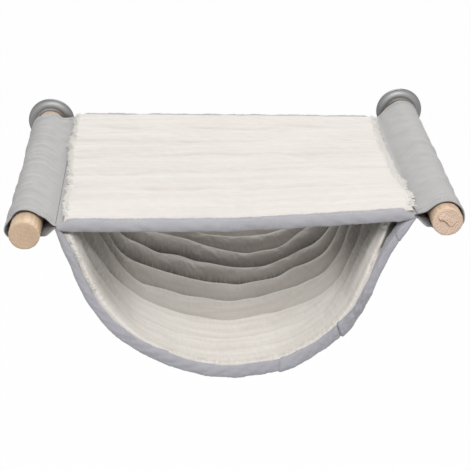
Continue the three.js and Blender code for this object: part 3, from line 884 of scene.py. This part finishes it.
# For each roll, from the front one: how dark the shade painted in its front fold is and how high it stands,
# low and up the sides
FOLD_SHADE_LOW, FOLD_SHADE_SIDE, ROLLS_LOW, ROLLS_SIDE = np.array(
    [
        [0.0, 0.15, 0.32, 0.62, 1.3, 1.1, 0.05, 0.4],
        [0.0, 0.6, 0.9, 1, 1, 1, 1, 1],
        [4.5, 6.5, 10.5, 13, 14, 14.5, 14, 11],
        [9, 11, 12, 13, 13, 13, 12, 10],
    ]
)[..., None]
# How far each crease is lifted off the pad's floor, from the front one
CREASE_LIFT = np.array([3.8, 2.8, 1.2, 0.3, 0, 0, 0, 0, 1.5])[:, None]
# Where the front roll starts and the rear one ends
ROLL_FRONT, ROLL_REAR = COVER_END - 12, COVER_START + 8
# How much more the front roll swells up the sides
PLUMP = 3.0


def roll_lines(run):
    """The depths of the creases and crests of the eight rolls at each run: a smooth curve through the
    table, eased by a running mean. A crease lies behind each crest, at a quarter of the way to the next."""
    dense = np.linspace(-330, 330, 661)
    kernel = np.hanning(71)
    kernel /= kernel.sum()
    crests = []
    for row in CRESTS:
        padded = np.pad(np.interp(dense, CREST_RUNS, row), 35, mode="edge")
        crests.append(np.interp(run, dense, np.convolve(padded, kernel, "valid")))
    ends = np.ones((1, len(run)))
    crests = np.concatenate([crests, ends * (ROLL_REAR + 8)])
    creases = crests[:-1] - 0.24 * np.clip(crests[:-1] - crests[1:], 18, 44)
    return np.concatenate([ends * ROLL_FRONT, creases, ends * ROLL_REAR]), crests


def closed_pad(name, *parts):
    """A closed pad from the parts that follow each other round it. Each part is grids of its points, of
    its places across, along the pile and from the wall, and of the shade painted on it."""
    parts = parts + (tuple(grid[:1] for grid in parts[0]),)
    points, across, along, depths, darks = (np.concatenate(grids) for grids in zip(*parts))
    return surface(name, points, np.stack([across, along], -1), np.stack([darks, depths * MM], -1), True)


def up_side(run):
    """0 low in the sling and 1 high up its sides."""
    return smooth_step(130, 225, np.abs(run))


def roll_heights(run, depth, roll, share, form):
    """How high the cave's plush stands: the creases are lifted by their table, and the rolls stand on
    them by theirs, plumper up the sides and uneven by smooth waves."""
    high = up_side(run)
    tall = ROLLS_LOW[roll] * (1 - high) + ROLLS_SIDE[roll] * high
    tall = tall * (1 + 0.1 * ripples(21, run, roll[:, None] * 170.0, 170, 10))
    tall = tall * (0.55 + 0.45 * smooth_step(HALF_RUN - 4, HALF_RUN - 34, np.abs(run)))
    lift = (CREASE_LIFT[roll] + PLUMP * high * (roll == 0)[:, None]) * (1 - share)
    lift = lift + CREASE_LIFT[roll + 1] * share
    waves = 0.16 * ripples(32, run, depth * 0.5, 18, 18) + 0.1 * ripples(34, run, depth * 0.3, 6, 18)
    uneven = 0.3 * ripples(31, run, depth, 110) + (0.35 + 0.65 * high) * waves
    return SLING_THICKNESS - 1.5 + lift + (tall - lift * 0.5) * form + uneven


def painted_roll_shade(run, depth, roll, share, climb, fall, near):
    """The shade painted on the cave's plush: in the folds, in faint streaked lines along the front rolls,
    and on both side walls from behind a line near the front."""
    high = up_side(run)
    strong = FOLD_SHADE_LOW[roll] * (1 - high) + FOLD_SHADE_SIDE[roll] * high
    hollow = 0.85 * (1 - climb) ** 1.8 + 0.15 * smooth_step(0.25, 0.0, share)
    dark = strong * np.where(climb < 1, hollow, smooth_step(0, 0.5, fall))
    streak_shade = bell(share, 0.36, 0.07) + bell(share, 0.66, 0.05)
    dark = dark + 0.1 * (1 - FOLD_SHADE_LOW[roll]) * streak_shade * (1 - high)
    # painted shade on the side walls, behind the front lip
    walls = np.where(run > 0, 0.8 * smooth_step(150, 262, run), 0.58 * smooth_step(125, 235, -run))
    return dark + walls * smooth_step(near, near - 13, depth) * (1 - dark.clip(0, 1))


def make_cave_plush():
    """The sling's padded plush lining, a closed pad. Its inner side is eight rolls: each climbs from its
    front crease as a quarter of a sine to a crest, and drops behind it as a quarter of a cosine. The pile
    in its front edge stands over the binding, and stops short of it at the right seam. Its outer side
    lies on the shell, and it thins out towards the seams."""
    columns, per_roll, rolls = 421, 26, 8
    floor, front_end, rear_end = 2.9, 338.8, 21.0
    run = np.linspace(-HALF_RUN + 5, HALF_RUN - 5, columns)
    short = 7 * smooth_step(HALF_RUN - 90, HALF_RUN - 55, run)
    short = short + 15 * smooth_step(HALF_RUN - 50, HALF_RUN - 22, run)
    creases, crests = roll_lines(run)
    creases[0] -= short
    roll = np.append(np.repeat(np.arange(rolls), per_roll), rolls - 1)
    share = np.append(np.tile(np.arange(per_roll) / per_roll, rolls), 1.0)[:, None]
    front, rear = creases[roll], creases[roll + 1]
    depth = front + (rear - front) * share
    peak = (front - crests[roll]) / (front - rear)
    climb, fall = np.clip(share / peak, 0, 1), np.clip((share - peak) / (1 - peak), 0, 1)
    drop = np.cos(math.pi / 2 * fall).clip(0) ** 0.7
    form = np.where(share < peak, np.sin(math.pi / 2 * climb) ** 0.85, drop)
    runs = np.broadcast_to(run, depth.shape)
    height = roll_heights(runs, depth, roll, share, form)
    depth = depth + 0.6 * ripples(33, runs, depth, 140)
    dark = painted_roll_shade(run, depth, roll, share, climb, fall, np.where(run > 0, 323 - short, 336))
    pinned = np.clip(1.15 - 1.6 * form, 0, 1)
    pinned[0] = pinned[-1] = 1
    pinned = np.maximum(pinned, smooth_step(HALF_RUN - 22, HALF_RUN - 10, np.abs(run)))

    def whole_at(its_depth):
        """1 on the pad, and 0 where it thins out: at the seams, and lower down at the right front."""
        cut = 7 * (run > 0) * smooth_step(240, 320, its_depth)
        return smooth_step(HALF_RUN - 4 - cut, HALF_RUN - 16 - cut, np.abs(run))

    def part(its_depth, its_height, its_dark, thin, points=None):
        """A part of the pad, drawn down to a thin layer where it isn't whole."""
        across = np.broadcast_to(run, its_depth.shape)
        points = in_sling(across, its_depth, its_height) if points is None else points
        flat, whole = in_sling(across, its_depth, thin), whole_at(its_depth)[..., None]
        points = points * whole + flat * (1 - whole)
        return points, across, its_depth + its_height * 0.5, its_depth, 0.85 * its_dark

    lip = [[front_end, floor], [front_end, 12], [339.8, 14.4], [340.2, 16.0], [339.2, 17.6]]
    lip = spread(np.array(lip + [[336.8, 18.6], [333.6, 19.0], [331, 19.0]]), 0.9)
    tail = [[26, 17.4], [23.6, 17.0], [21.4, 15.0], [rear_end, 12], [rear_end, floor]]
    tail = spread(np.array(tail), 1.2)
    fuzz = 0.4 * ripples(35, run, run * 0, 9, 16) + 0.3 * ripples(36, run, run * 0, 3.5, 16)
    nose = smooth_step(12, 18, lip[:, 1:])
    lip_depth = lip[:, :1] + nose * fuzz - short
    lip_height = lip[:, 1:] + nose * (fuzz * 0.6 + PLUMP * up_side(run))
    # painted shade: a dark gap under the band at the right front
    gap_shade = smooth_step(HALF_RUN - 66, HALF_RUN - 44, run) * smooth_step(17.2, 14.5, lip[:, 1:])
    under = np.linspace(0, 1, 34)[1:-1, None]
    wide = np.ones(columns)
    rest_depth = np.concatenate([tail[:, :1] * wide, rear_end + (front_end - short - rear_end) * under])
    rest_height = np.concatenate([tail[:, 1:] * wide, np.full((len(under), columns), floor)])
    filled = in_sling(runs, depth, height)
    filled = puffed(filled, pinned, steps=(2, 3), pressure=1.2, reach=4.0, spare=0.003)
    # Painted shade: the rolls' folds and walls, dark where the pad thins out at the seams and by the gap at
    # the right front, and 0.6 along its rear edge and underside
    return closed_pad(
        "cave_plush",
        part(lip_depth, lip_height, np.maximum(1 - whole_at(lip_depth), 1.4 * gap_shade), 4.0),
        part(depth, height, np.maximum(dark, 1 - whole_at(depth)), 5.0, filled),
        part(rest_depth, rest_height, 0.6 + 0 * rest_depth, 4.0),
    )


def drag_folds(seed, bow, runs, girth, count):
    """Folds that drag across a sleeve. Each is a ridge with a hollow behind it, a bell less a wider bell,
    along one value of bow, and it fades in and out at its own runs round the sleeve."""
    rng = np.random.default_rng(seed)
    total = np.zeros(bow.shape)
    for spot in np.linspace(30, 350, count):
        at = spot + rng.normal(0, 5)
        width = rng.uniform(3.4, 6.8)
        start, end = rng.uniform(0.02, 0.3) * girth, rng.uniform(0.55, 0.98) * girth
        window = smooth_step(start, start + 22, runs) * smooth_step(end, end - 26, runs)
        swing = at + 3 * np.sin(runs / rng.uniform(14, 24) + rng.uniform(0, TURN))
        swing = swing + rng.normal(0, 0.12) * runs
        ridge = bell(bow, swing, width) - 0.55 * bell(bow, swing - 1.7 * width, 1.5 * width)
        total += rng.uniform(0.6, 1.25) * window * ridge
    return total


# Depths of the lounge's creases
LOUNGE_CREASES = (264.6, 212.0, 163.6, 117.4, 73.0)


def make_lounge_plush():
    """The top panel's padded plush, a closed pad. It crowns a little and has shallow wandering creases
    from side to side, with shade painted in them. Its front edge stands on the binding's lap, and its
    sides reach out and back as the pile was cut, rounded as a quarter of a circle."""
    columns, rows = 341, 221
    floor, front_end, rear_end = 1.9, 338.2, 21.4
    share = np.linspace(-1, 1, columns)[None]
    front, rear = COVER_END - 11, COVER_START + 6
    depth = np.linspace(front, rear, rows)[:, None] * np.ones_like(share)
    left, right = (np.interp(depth, EDGE_DEPTHS, edge) for edge in (EDGE_LEFT, EDGE_RIGHT))
    x = share * (np.where(share < 0, left, right) + 0.6 * ripples(41, np.sign(share) * 300, depth, 60))
    inside = np.sqrt(1 - (1 - np.clip((1 - np.abs(share)) * 200 / 6, 0, 1)) ** 2)
    top = PANEL_THICKNESS + 0.6 + 2.2 * (1 - np.abs(share) ** 3) * (1 - ((depth - 180) / 165) ** 4)
    valley = np.zeros_like(top)
    for i, crease in enumerate(LOUNGE_CREASES):
        line = crease + 5 * ripples(50 + i, x, x * 0, 260, 8)
        deep = 0.55 + 0.4 * ripples(60 + i, x, x * 0, 180, 8)
        valley = valley + deep * bell(depth, line, 4.0)
        top = top - 0.8 * deep * bell(depth, line, 4.5)
    top = top + 0.2 * ripples(43, x * 0.2, depth, 46, 16) + 0.14 * ripples(44, x * 0.15, depth, 12, 16)
    top = top + 0.06 * ripples(45, x * 0.3, depth, 4.5, 16)
    valley = valley.clip(0, 1)

    def rounded_in(widths, heights):
        """Heights drawn down to the pad's floor, which rises at its two sides."""
        base = floor + 6.4 * smooth_step(188, 194.5, np.abs(widths))
        high = base + (np.maximum(heights, base + 1.2) - base) * (0.3 + 0.7 * inside)
        return np.where(heights < 2, base, high)

    def part(widths, its_depth, its_height):
        """A part of the pad by its places across, depths and heights."""
        widths, its_depth = np.broadcast_arrays(widths, its_depth)
        points = in_panel(widths, its_depth, rounded_in(widths, its_height))
        return points, widths, its_depth, its_depth, 0 * widths

    pinned = np.clip(1.2 - 1.4 * inside, 0, 1) + 0.55 * valley
    pinned = pinned + smooth_step(front - 8, front, depth) + smooth_step(rear + 8, rear, depth)
    filled = in_panel(x, depth, rounded_in(x, top))
    filled = puffed(filled, pinned.clip(0, 1), steps=(4, 5), pressure=0.3, reach=2.0, spare=0.001)
    lip = [[front_end, floor], [front_end, 8.0], [331.4, 8.6], [331.8, 10.2], [332.0, 11.4], [330.8, 11.8]]
    tail = [[25.4, 11.4], [24.2, 10.6], [23.8, 9.0], [23.8, 6.5], [rear_end, 6.0], [rear_end, floor]]
    lip, tail = spread(np.array(lip), 1.0), spread(np.array(tail), 1.2)
    under = np.linspace(0, 1, 28)[1:-1, None]
    fuzz = 0.25 * ripples(46, x[:1], x[:1] * 0, 9, 16) + 0.2 * ripples(47, x[:1], x[:1] * 0, 3.5, 16)
    fuzz = fuzz * smooth_step(9, 10.5, lip[:, 1:])
    below_x = x[-1:] + (x[:1] - x[-1:]) * under
    drawn_in, drawn_below = (3.0 * smooth_step(168, 184, np.abs(widths)) for widths in (x[:1], below_x))
    lip_depth = lip[:, :1] + fuzz - drawn_in * smooth_step(331.5, 338, lip[:, :1])
    return closed_pad(
        "lounge_plush",
        part(x[:1], lip_depth, lip[:, 1:] + fuzz * 0.5),
        # painted shade in the creases
        (filled, x, depth, depth, 0.5 * valley),
        part(x[-1:], tail[:, :1], tail[:, 1:]),
        part(below_x, rear_end + (front_end - rear_end - drawn_below) * under, floor),
    )


# How far from a sleeve's end its seam to the panel is sewn, left and right
SEAM_RUNS = {-1: 10.2, 1: 3.6}


def sleeve_line():
    """A sleeve's middle line about a pole's axis, with its outward normals. It runs from the flat seam up
    along a tangent, round the pole and back, with eased corners."""
    middle = SLEEVE_INNER + SLEEVE_CLOTH / 2
    lean = math.asin(SLEEVE_INNER / (SLEEVE_REACH + 2))
    arc = np.linspace(math.pi / 2 + lean, -math.pi / 2 - lean, 90)
    round_part = np.stack([middle * np.cos(arc), middle * np.sin(arc)], -1)
    seam_end, knee, flap = SEAM_X - 6 - POLE_X, -SLEEVE_REACH - 3.5, 1.15
    ends = [[seam_end, flap], [knee, flap]], [[knee, -flap], [seam_end, -flap]]
    line = eased_line(np.concatenate([ends[0], round_part, ends[1]]), 1.2, 8)
    half = np.where(np.arange(len(line)) < len(line) / 2, 1.0, -1.0)
    line[:, 1] = half * np.maximum(half * line[:, 1], 1.12)
    out = line_normal(line)
    return line, out if (out * line).sum() > 0 else -out


def seam_folds(runs, girth, depths, end):
    """How the right sleeve folds in a V where its front end meets the seam: a ridge between two grooves
    on each flap. Gives the rise, and the shade painted in the grooves and along two lines by the hem."""
    back = COVER_END + 2 - depths
    rise, shade = 0, 0
    for from_seam in (runs, girth - runs):
        fold = 8.5 - 0.1 * back
        near_front = smooth_step(54, 30, back)
        grooves = bell(from_seam, fold, 1.0) + 0.8 * bell(from_seam, fold + 4.4, 0.9)
        rise = rise + near_front * (1.8 * bell(from_seam, fold + 2.2, 1.3) - 1.2 * grooves)
        # painted shade in the grooves
        shade = shade + near_front * grooves
    hem_line_shade = bell(depths, end - 3, 0.9) + bell(depths, end - 9, 0.9)
    return rise, shade + 0.9 * hem_line_shade * smooth_step(0.6 * girth, 0.68 * girth, runs)


def make_sleeve(name, side):
    """A loop of cloth round a pole. Wrinkles cross it in arcs, deep on the left and faint on the right.
    It bellies out low on its outer side, its ends are hemmed, and shade is painted on its inside near
    its front. Also gives its girth, and its skin's points and section normals."""
    line, out = sleeve_line()
    run = line_run(line)
    girth = run[-1]
    angle = np.arctan2(line[:, 1], line[:, 0])
    loose = smooth_step(10, 24, run) * smooth_step(10, 24, girth - run)
    under_pole = smooth_step(-0.35, -0.85, np.sin(angle))
    start = COVER_START + 0.5 + (1.5 if side > 0 else 10) * loose
    end = COVER_END - 0.5 + ((8 if side > 0 else -2) - 9 * under_pole) * loose
    depths = start + (end - start) * np.linspace(0, 1, 260)[:, None]
    runs = np.broadcast_to(run, depths.shape)
    bow = depths + 17 * np.cos((runs / girth - 0.3) * TURN) + 0.05 * runs
    deep, hangs, count = (1.0, 1.0, 11) if side < 0 else (0.35, 0.3, 7)
    wrinkle = 1.5 * drag_folds(70 + side, bow, runs, girth, count)
    wrinkle = wrinkle + 0.3 * ripples(72 + side, bow, runs * 0.25, 40, 12, lean=0.0)
    wrinkle = deep * (wrinkle + 0.1 * ripples(74 + side, bow, runs * 0.4, 12, 12, lean=0.0))
    wrinkle = wrinkle + (0.2 + 0.35 * deep) * ripples(76 + side, runs, depths, 70)
    shade = np.zeros(depths.shape)
    if side > 0:
        rise, shade = seam_folds(runs, girth, depths, end)
        wrinkle = wrinkle + rise
    near_end = smooth_step(COVER_END - 55, COVER_END - 6, depths)
    slack = smooth_step(0.35, -0.5, np.sin(angle)) * smooth_step(-0.5, 0.3, np.cos(angle))
    belly = 3.0 * slack * (0.65 + 0.35 * np.sin(depths / 37 + side)) * (1 - 0.85 * near_end)
    flare = 3.0 * bell(angle, -0.2, 0.5) * smooth_step(COVER_END - 40, COVER_END, depths)
    hem = smooth_step(10.5, 9, end - depths) + smooth_step(10.5, 9, depths - start)
    dip = bell(depths, end - 8, 0.9) + bell(depths, start + 8, 0.9)
    seam = bell(runs, SEAM_RUNS[side], 1.1) + bell(runs, girth - SEAM_RUNS[side], 1.1)
    thicker = loose * (0.6 * hem - 0.5 * dip) - 0.8 * seam
    lift = loose * (0.4 + (wrinkle + 1.1 * deep).clip(0) + hangs * (belly + flare) + thicker / 2)
    across, up = line.T[..., None, :] + out.T[..., None, :] * lift
    points = askew(side * (POLE_X + across), depths, up)
    # painted shade on the inside near the front end, stronger on the upper and outer part
    inside = smooth_step(30, 8, COVER_END + points[..., 1]) * np.where(runs < 0.6 * girth, 0.85, 0.45)
    shade = shade.clip(0, 1)
    faces = shade, inside + shade * (1 - inside)
    if side < 0:
        faces = faces[::-1]
    mesh = cloth_shell(name, points, SLEEVE_CLOTH + thicker, np.stack([runs, depths], -1), faces)
    return mesh, girth, points, out


def make_tape(name, place, span, high, edge, inwards, bulge, laps, seed, joins):
    """A binding tape folded over an edge. Its section is a lap, a rounded nose that is half of an ellipse
    past the edge, and the other lap. It is carried across the cover, puckers where it is sewn and is
    pinched at the seams. Where one end of it laps over the other it swells behind a groove that has
    shade painted in it. Round the sling it thins up the sides, with shade painted in creases high on the
    right. Also gives its width and its skin's points."""
    thin_sides = 0.2 if place is in_sling else 0.0
    half = TAPE_CLOTH / 2
    top, bottom = high + half, -0.3 - half
    middle = (top + bottom) / 2
    angle = np.linspace(math.pi / 2, -math.pi / 2, 25)
    forward = edge - inwards * (half + bulge * np.cos(angle))
    nose = np.stack([middle + (top - bottom) / 2 * np.sin(angle), forward], -1)
    line = np.concatenate([[[top, edge + inwards * laps[0]]], nose, [[bottom, edge + inwards * laps[1]]]])
    line = eased_line(spread(line, 0.5), 0.6, 2.4)
    run = line_run(line)
    away = unit(line - np.array([middle, edge + inwards * 4]))
    spot = np.linspace(-span, span, int(2 * span / 1.3))[:, None]
    spots, runs = np.broadcast_arrays(spot, run)
    sides = np.abs(spots)
    lift = (0.4 + 1.5 * thin_sides) * ripples(seed, spots, runs * 1.5, 60)
    lift = lift + 0.2 * ripples(seed + 1, spots, runs, 13, 16)
    lift = lift + 0.35 * bell(runs, run[-1] - 2.5, 3) * ripples(seed + 2, spots, runs * 0, 9, 10)
    slant = spots + 0.45 * (runs - run[-1] / 2)
    creases = smooth_step(-0.5, 1.5, ripples(seed + 3, spots, runs, 16) + 1)
    # painted shade in creases high on the right of the sling's rim
    shade = 1.2 * thin_sides * bell(spots, 178, 46) * creases
    for join, swell in joins:
        lapped = smooth_step(join - 1.0, join + 0.3, slant) * smooth_step(join + 34, join + 8, spots)
        lift = lift + swell * lapped - 0.7 * swell * bell(slant, join - 1.4, 1.3)
        # painted shade in the groove at each join
        shade = shade + 0.4 * (swell - 0.9) * bell(slant, join - 1.0, 1.0)
    heights, depths = line.T[..., None, :] + away.T[..., None, :] * lift
    pinch = 1 - 0.5 * smooth_step(span - 18, span, sides)
    pinch = pinch * (1 - thin_sides * smooth_step(90, 210, sides))
    points = place(spots, edge + (depths - edge) * (0.4 + 0.6 * pinch), 1.5 + (heights - 1.5) * pinch)
    mesh = cloth_shell(name, points, TAPE_CLOTH, np.stack([spots, runs], -1), (shade.clip(0, 1),) * 2)
    return mesh, run[-1], points


def sheet_grid(half, columns):
    """Two grids of a sheet's places across the cover and its depths."""
    depth = np.linspace(COVER_START + 0.8, COVER_END - 0.8, 121)[:, None]
    return np.broadcast_arrays(np.linspace(-half, half, columns), depth)


def off_edges(depths, reach):
    """0 on the front and rear bindings, and 1 from that far behind an edge."""
    return smooth_step(10, reach, COVER_END - depths) * smooth_step(10, reach, depths - COVER_START)


def make_cave_shell():
    """The sling's outer cloth: a sheet that follows the outside, with folds that hang from the seams, soft
    dents, and puckers along its bound edges."""
    runs, depths = sheet_grid(HALF_RUN, 301)
    high = smooth_step(120, 300, np.abs(runs))
    at_seam = smooth_step(HALF_RUN - 1, HALF_RUN - 18, np.abs(runs))
    folds = 1.5 * high * ripples(81, depths, np.abs(runs) * 0.16, 75, 10, lean=0.0)
    dents = 1.3 * ripples(82, runs, depths, 130) + 0.45 * ripples(83, runs, depths, 34)
    puckers = 0.4 * ripples(84, runs, depths * 0.2, 11, 14, lean=0.0)
    puckers = puckers * (bell(depths, COVER_END - 16, 6) + bell(depths, COVER_START + 16, 6))
    out = at_seam * (off_edges(depths, 30) * (folds + dents).clip(-1.0, 4) + puckers.clip(-0.6, 1))
    return cloth_shell("cave_shell", in_sling(runs, depths, 1.1 - out), 1.9, np.stack([runs, depths], -1))


def make_lounge_underside():
    """The top panel's base cloth, pulled flat from seam to seam, with faint pulls between them."""
    xs, depths = sheet_grid(SEAM_X - 0.4, 161)
    drop = off_edges(depths, 24) * (0.8 + 0.5 * ripples(91, xs * 0.3, depths, 60))
    points = in_panel(xs, depths, 0.8 - drop * smooth_step(0, 14, SEAM_X - np.abs(xs)))
    return cloth_shell("lounge_underside", points, 1.4, np.stack([xs, depths], -1))


def stitch_shape(length, radius):
    """One stitch: a short thread that is round in section and thinner at its ends."""
    share = np.array([0, 0.12, 0.5, 0.88, 1.0])[:, None]
    thick = radius * np.array([0, 0.8, 1.0, 0.8, 0])[:, None]
    angle = np.linspace(0, TURN, 6)
    along = np.broadcast_to((share - 0.5) * length, (5, 6))
    points = np.stack([along, thick * np.cos(angle), thick * (0.8 * np.sin(angle) + 0.35)], -1)
    return points.reshape(-1, 3), grid_quads(5, 6)


def stitched(name, lines, thread, pitch, length, radius):
    """Rows of stitches. Each line is points along a seam and the cloth's outward normals there, and
    stitches are laid along it at even steps."""
    origins, axes = [], []
    for points, normals in lines:
        run = line_run(points)
        at = np.arange(pitch / 2, run[-1], pitch)
        place = along_line(at, run, points)
        forward = unit(along_line(at + 1, run, points) - place + 1e-6)
        sideways = unit(np.cross(along_line(at, run, normals), forward))
        origins.append(place)
        axes.append(np.stack([forward, sideways, np.cross(forward, sideways)], -1))
    mesh = repeated(name, *stitch_shape(length, radius), np.concatenate(origins), np.concatenate(axes))
    add_piece(mesh, "cover", thread)


def tuft_shape():
    """One lock of pile, 1 long and 1 wide each way: a flat three-sided blade, drawn out to a point, with
    its broad side up."""
    share = np.array([0, 0, 0.35, 0.7, 1.0])[:, None]
    thick = np.array([0, 0.9, 1.0, 0.6, 0.0])[:, None]
    angle = np.linspace(0, TURN, 4) + TURN / 12
    points = [thick * np.cos(angle), thick * np.sin(angle) * 0.45, np.broadcast_to(share, (5, 4))]
    return np.stack(points, -1).reshape(-1, 3), grid_quads(5, 4)


def tufted(name, roots, directions, lengths, widths, seed):
    """Locks of pile with their roots at given points, broad side up and forward. Each is bent by the
    square of the way along it and turned, both by amounts of its own. Their normals lean to those of the
    plush, as light passes through pile."""
    rng = np.random.default_rng(seed)
    shape, quads = tuft_shape()
    across, up, grown = shape.T
    count = len(roots)
    forward = unit(directions + rng.normal(0, 0.22, (count, 3)))
    facing = np.array([0, -0.5, 0.85]) + rng.normal(0, 0.25, (count, 3))
    sideways = unit(np.cross(facing, forward))
    bend = rng.normal(0, 0.22, (count, 2))
    long, wide = lengths[:, None], widths[:, None]
    points = roots[:, None] + forward[:, None] * (grown * long)[..., None]
    for axis, flat, bent in ((sideways, across, bend[:, :1]), (np.cross(forward, sideways), up, bend[:, 1:])):
        points = points + axis[:, None] * (flat * wide + bent * long * grown**2)[..., None]
    faces = copied(quads, count, len(shape))
    uv = np.stack([roots[:, :1] + across, roots[:, 1:2] + grown * 3], -1)
    mesh = put_together(name, points.reshape(-1, 3), faces, (uv.reshape(-1, 2) * MM)[faces.ravel()])
    add_piece(mesh, "cover", TUFT_PLUSH)
    soft = unit(np.array([0, -0.3, 0.95]) + 0.3 * read_vectors(mesh.vertices, "normal"))
    mesh.normals_split_custom_set_from_vertices(soft.tolist())


def lock_rows(seed, first, last, count, place, outwards, sizes):
    """Places for a row of locks between two spots along an edge: seeded spots, a root and a direction at
    each by the place's own rule, and lengths that come and go in clumps."""
    rng = np.random.default_rng(seed)
    spot = np.sort(rng.uniform(first, last, count))
    side = rng.uniform(0, 1, count)
    clump = 0.5 + 0.5 * ripples(seed + 1, spot, spot * 0, 26, 8).clip(-1, 1)
    length = sizes[0] + (sizes[1] - sizes[0]) * (0.35 * rng.uniform(0, 1, count) + 0.65 * clump)
    return place(spot, side), outwards(spot, side), length, rng.uniform(0.5, 0.95, count)


# ---------------------------------------------------------------- the cover's pieces

cave_plush = add_piece(make_cave_plush(), "cover", CAVE_PLUSH)
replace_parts(cave_plush, "sling_lining", "sling_wadding")

cave_shell = add_piece(make_cave_shell(), "cover", SHELL_SUEDE)
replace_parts(cave_shell, "sling_shell")

lounge_plush = add_piece(make_lounge_plush(), "cover", LOUNGE_PLUSH)
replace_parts(lounge_plush, "panel_fleece", "panel_wadding")

lounge_underside = add_piece(make_lounge_underside(), "cover", SHELL_SUEDE)
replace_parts(lounge_underside, "panel_base_cloth")

seams, hems = [], []
for side, hand in ((-1, "left"), (1, "right")):
    mesh, girth, skin, out = make_sleeve(f"{hand}_suede_sleeve", side)
    piece = add_piece(mesh, "cover", SLEEVE_SUEDE)
    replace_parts(piece, f"{hand}_sleeve")
    normals = np.broadcast_to(np.stack([side * out[:, 0], 0 * out[:, 0], out[:, 1]], -1), skin.shape)
    sewn = round(SEAM_RUNS[side] * (skin.shape[1] - 1) / girth)
    for column in (sewn, -1 - sewn):
        seams.append((skin[:, column] + normals[:, column] * 0.85, normals[:, column]))
    for row in (6, -7):
        hems.append((skin[row, 12:-12] + normals[row, 12:-12] * 1.2, normals[row, 12:-12]))

# The cloth that a tape lies on, how it is placed there, half its length and its finish
ON_CAVE = ("cave_shell", in_sling, HALF_RUN - 0.5, RIM_SUEDE)
ON_LOUNGE = ("lounge_underside", in_panel, SEAM_X + 3, TAPE_SUEDE)
# Where a tape's ends lap over each other, and by how much it swells there
FRONT_JOINS = ((54.0, 1.1), (146.0, 2.2), (290.0, 1.3))
# Each tape's piece, node and cloth, then its height, edge, way inwards, bulge, laps, seed and joins
TAPES = [
    ("cave_front_rim", "sling_front_binding", ON_CAVE, 14.2, COVER_END, -1, 2.6, (13, 9), 100, FRONT_JOINS),
    ("cave_rear_rim", "sling_rear_binding", ON_CAVE, 14.2, COVER_START, 1, 2.0, (4, 9), 110, ((-60.0, 1.4),)),
    ("lounge_front_band", "panel_front_binding", ON_LOUNGE, 10.0, COVER_END, -1, 3.4, (8, 9), 120, ()),
    ("lounge_rear_hem", "panel_rear_binding", ON_LOUNGE, 9.8, COVER_START, 1, 2.0, (4, 9), 130, ()),
]
for name, node, (under, place, span, finish), *sizes in TAPES:
    mesh, width, skin = make_tape(name, place, span, *sizes)
    piece = add_piece(mesh, "cover", finish)
    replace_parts(piece, node)
    outwards = unit(np.cross(np.gradient(skin, axis=0), np.gradient(skin, axis=1)))
    ways = outwards[4:-4, -5] * (1 if outwards[len(skin) // 2, -5, 2] < 0 else -1)
    hems.append((skin[4:-4, -5] + ways * 0.7, ways))
stitched("seam_stitches", seams, SEAM_THREAD, pitch=3.6, length=3.1, radius=0.5)
stitched("hem_stitches", hems, HEM_THREAD, pitch=4.2, length=3.0, radius=0.42)


def lounge_side(hand):
    """Roots and directions along a side edge of the lounge, from its rear to its front."""
    edge = EDGE_LEFT if hand < 0 else EDGE_RIGHT

    def place(depth, side):
        """Roots from the pile's edge inwards."""
        reach = np.interp(depth, EDGE_DEPTHS, edge)
        return in_panel(hand * (reach - 0.2 - 5.5 * side), depth, 9.6 + 2.6 * side**0.7)

    def ways(depth, side):
        """Directions out, a little forward, and up towards the pile's inner side."""
        return np.stack([hand + 0 * side, -0.15 + 0 * side, 0.02 + 0.3 * side], -1)

    return place, ways


def cave_edge(edge, inwards, high=17.0):
    """Roots and directions along the plush that stands over a rim of the cave."""

    def place(run, side):
        """Roots from the rim inwards, rising."""
        return in_sling(run, edge + inwards * (0.2 + 3.5 * side), high + 2.6 * side)

    def ways(run, side):
        """Directions along the depth, and from a little outwards to inwards."""
        inward_x, inward_z = sling_outline(run)[2:]
        into = -0.35 + 1.1 * side
        return np.stack([inward_x * into, inwards + 0 * run, inward_z * into], -1)

    return place, ways


def upright(run, side):
    """Directions up and a little forward."""
    return np.broadcast_to([0, -0.3, 1], (len(run), 3))


# Each row's seed, its first and last spot, how many locks it has, its rule, and its shortest and longest
ROWS = [
    (201, COVER_START + 5, COVER_END - 12, 1000, lounge_side(-1), (2.0, 6.0)),
    (203, COVER_START + 5, COVER_END - 12, 1200, lounge_side(1), (2.5, 7.5)),
    (221, 114, 128, 90, lounge_side(-1), (6.0, 9.5)),
    (223, 251, 264, 80, lounge_side(1), (4.0, 7.0)),
    (225, 290, 299, 60, lounge_side(1), (4.0, 7.0)),
    (209, 20 - HALF_RUN, HALF_RUN - 60, 800, cave_edge(COVER_END - 0.6, -1), (0.7, 1.8)),
    (211, 12 - HALF_RUN, 90 - HALF_RUN, 320, cave_edge(COVER_END - 0.6, -1), (2.2, 5.0)),
    (215, 20 - HALF_RUN, HALF_RUN - 20, 900, cave_edge(COVER_START + 0.8, 1), (1.0, 2.4)),
    (217, HALF_RUN - 30, HALF_RUN - 27, 40, (cave_edge(COVER_END - 10, -1, 26.0)[0], upright), (5.0, 7.0)),
]
locks = [lock_rows(seed, first, last, count, *rule, sizes) for seed, first, last, count, rule, sizes in ROWS]
tufted("pile_locks", *(np.concatenate(parts) for parts in zip(*locks)), 219)
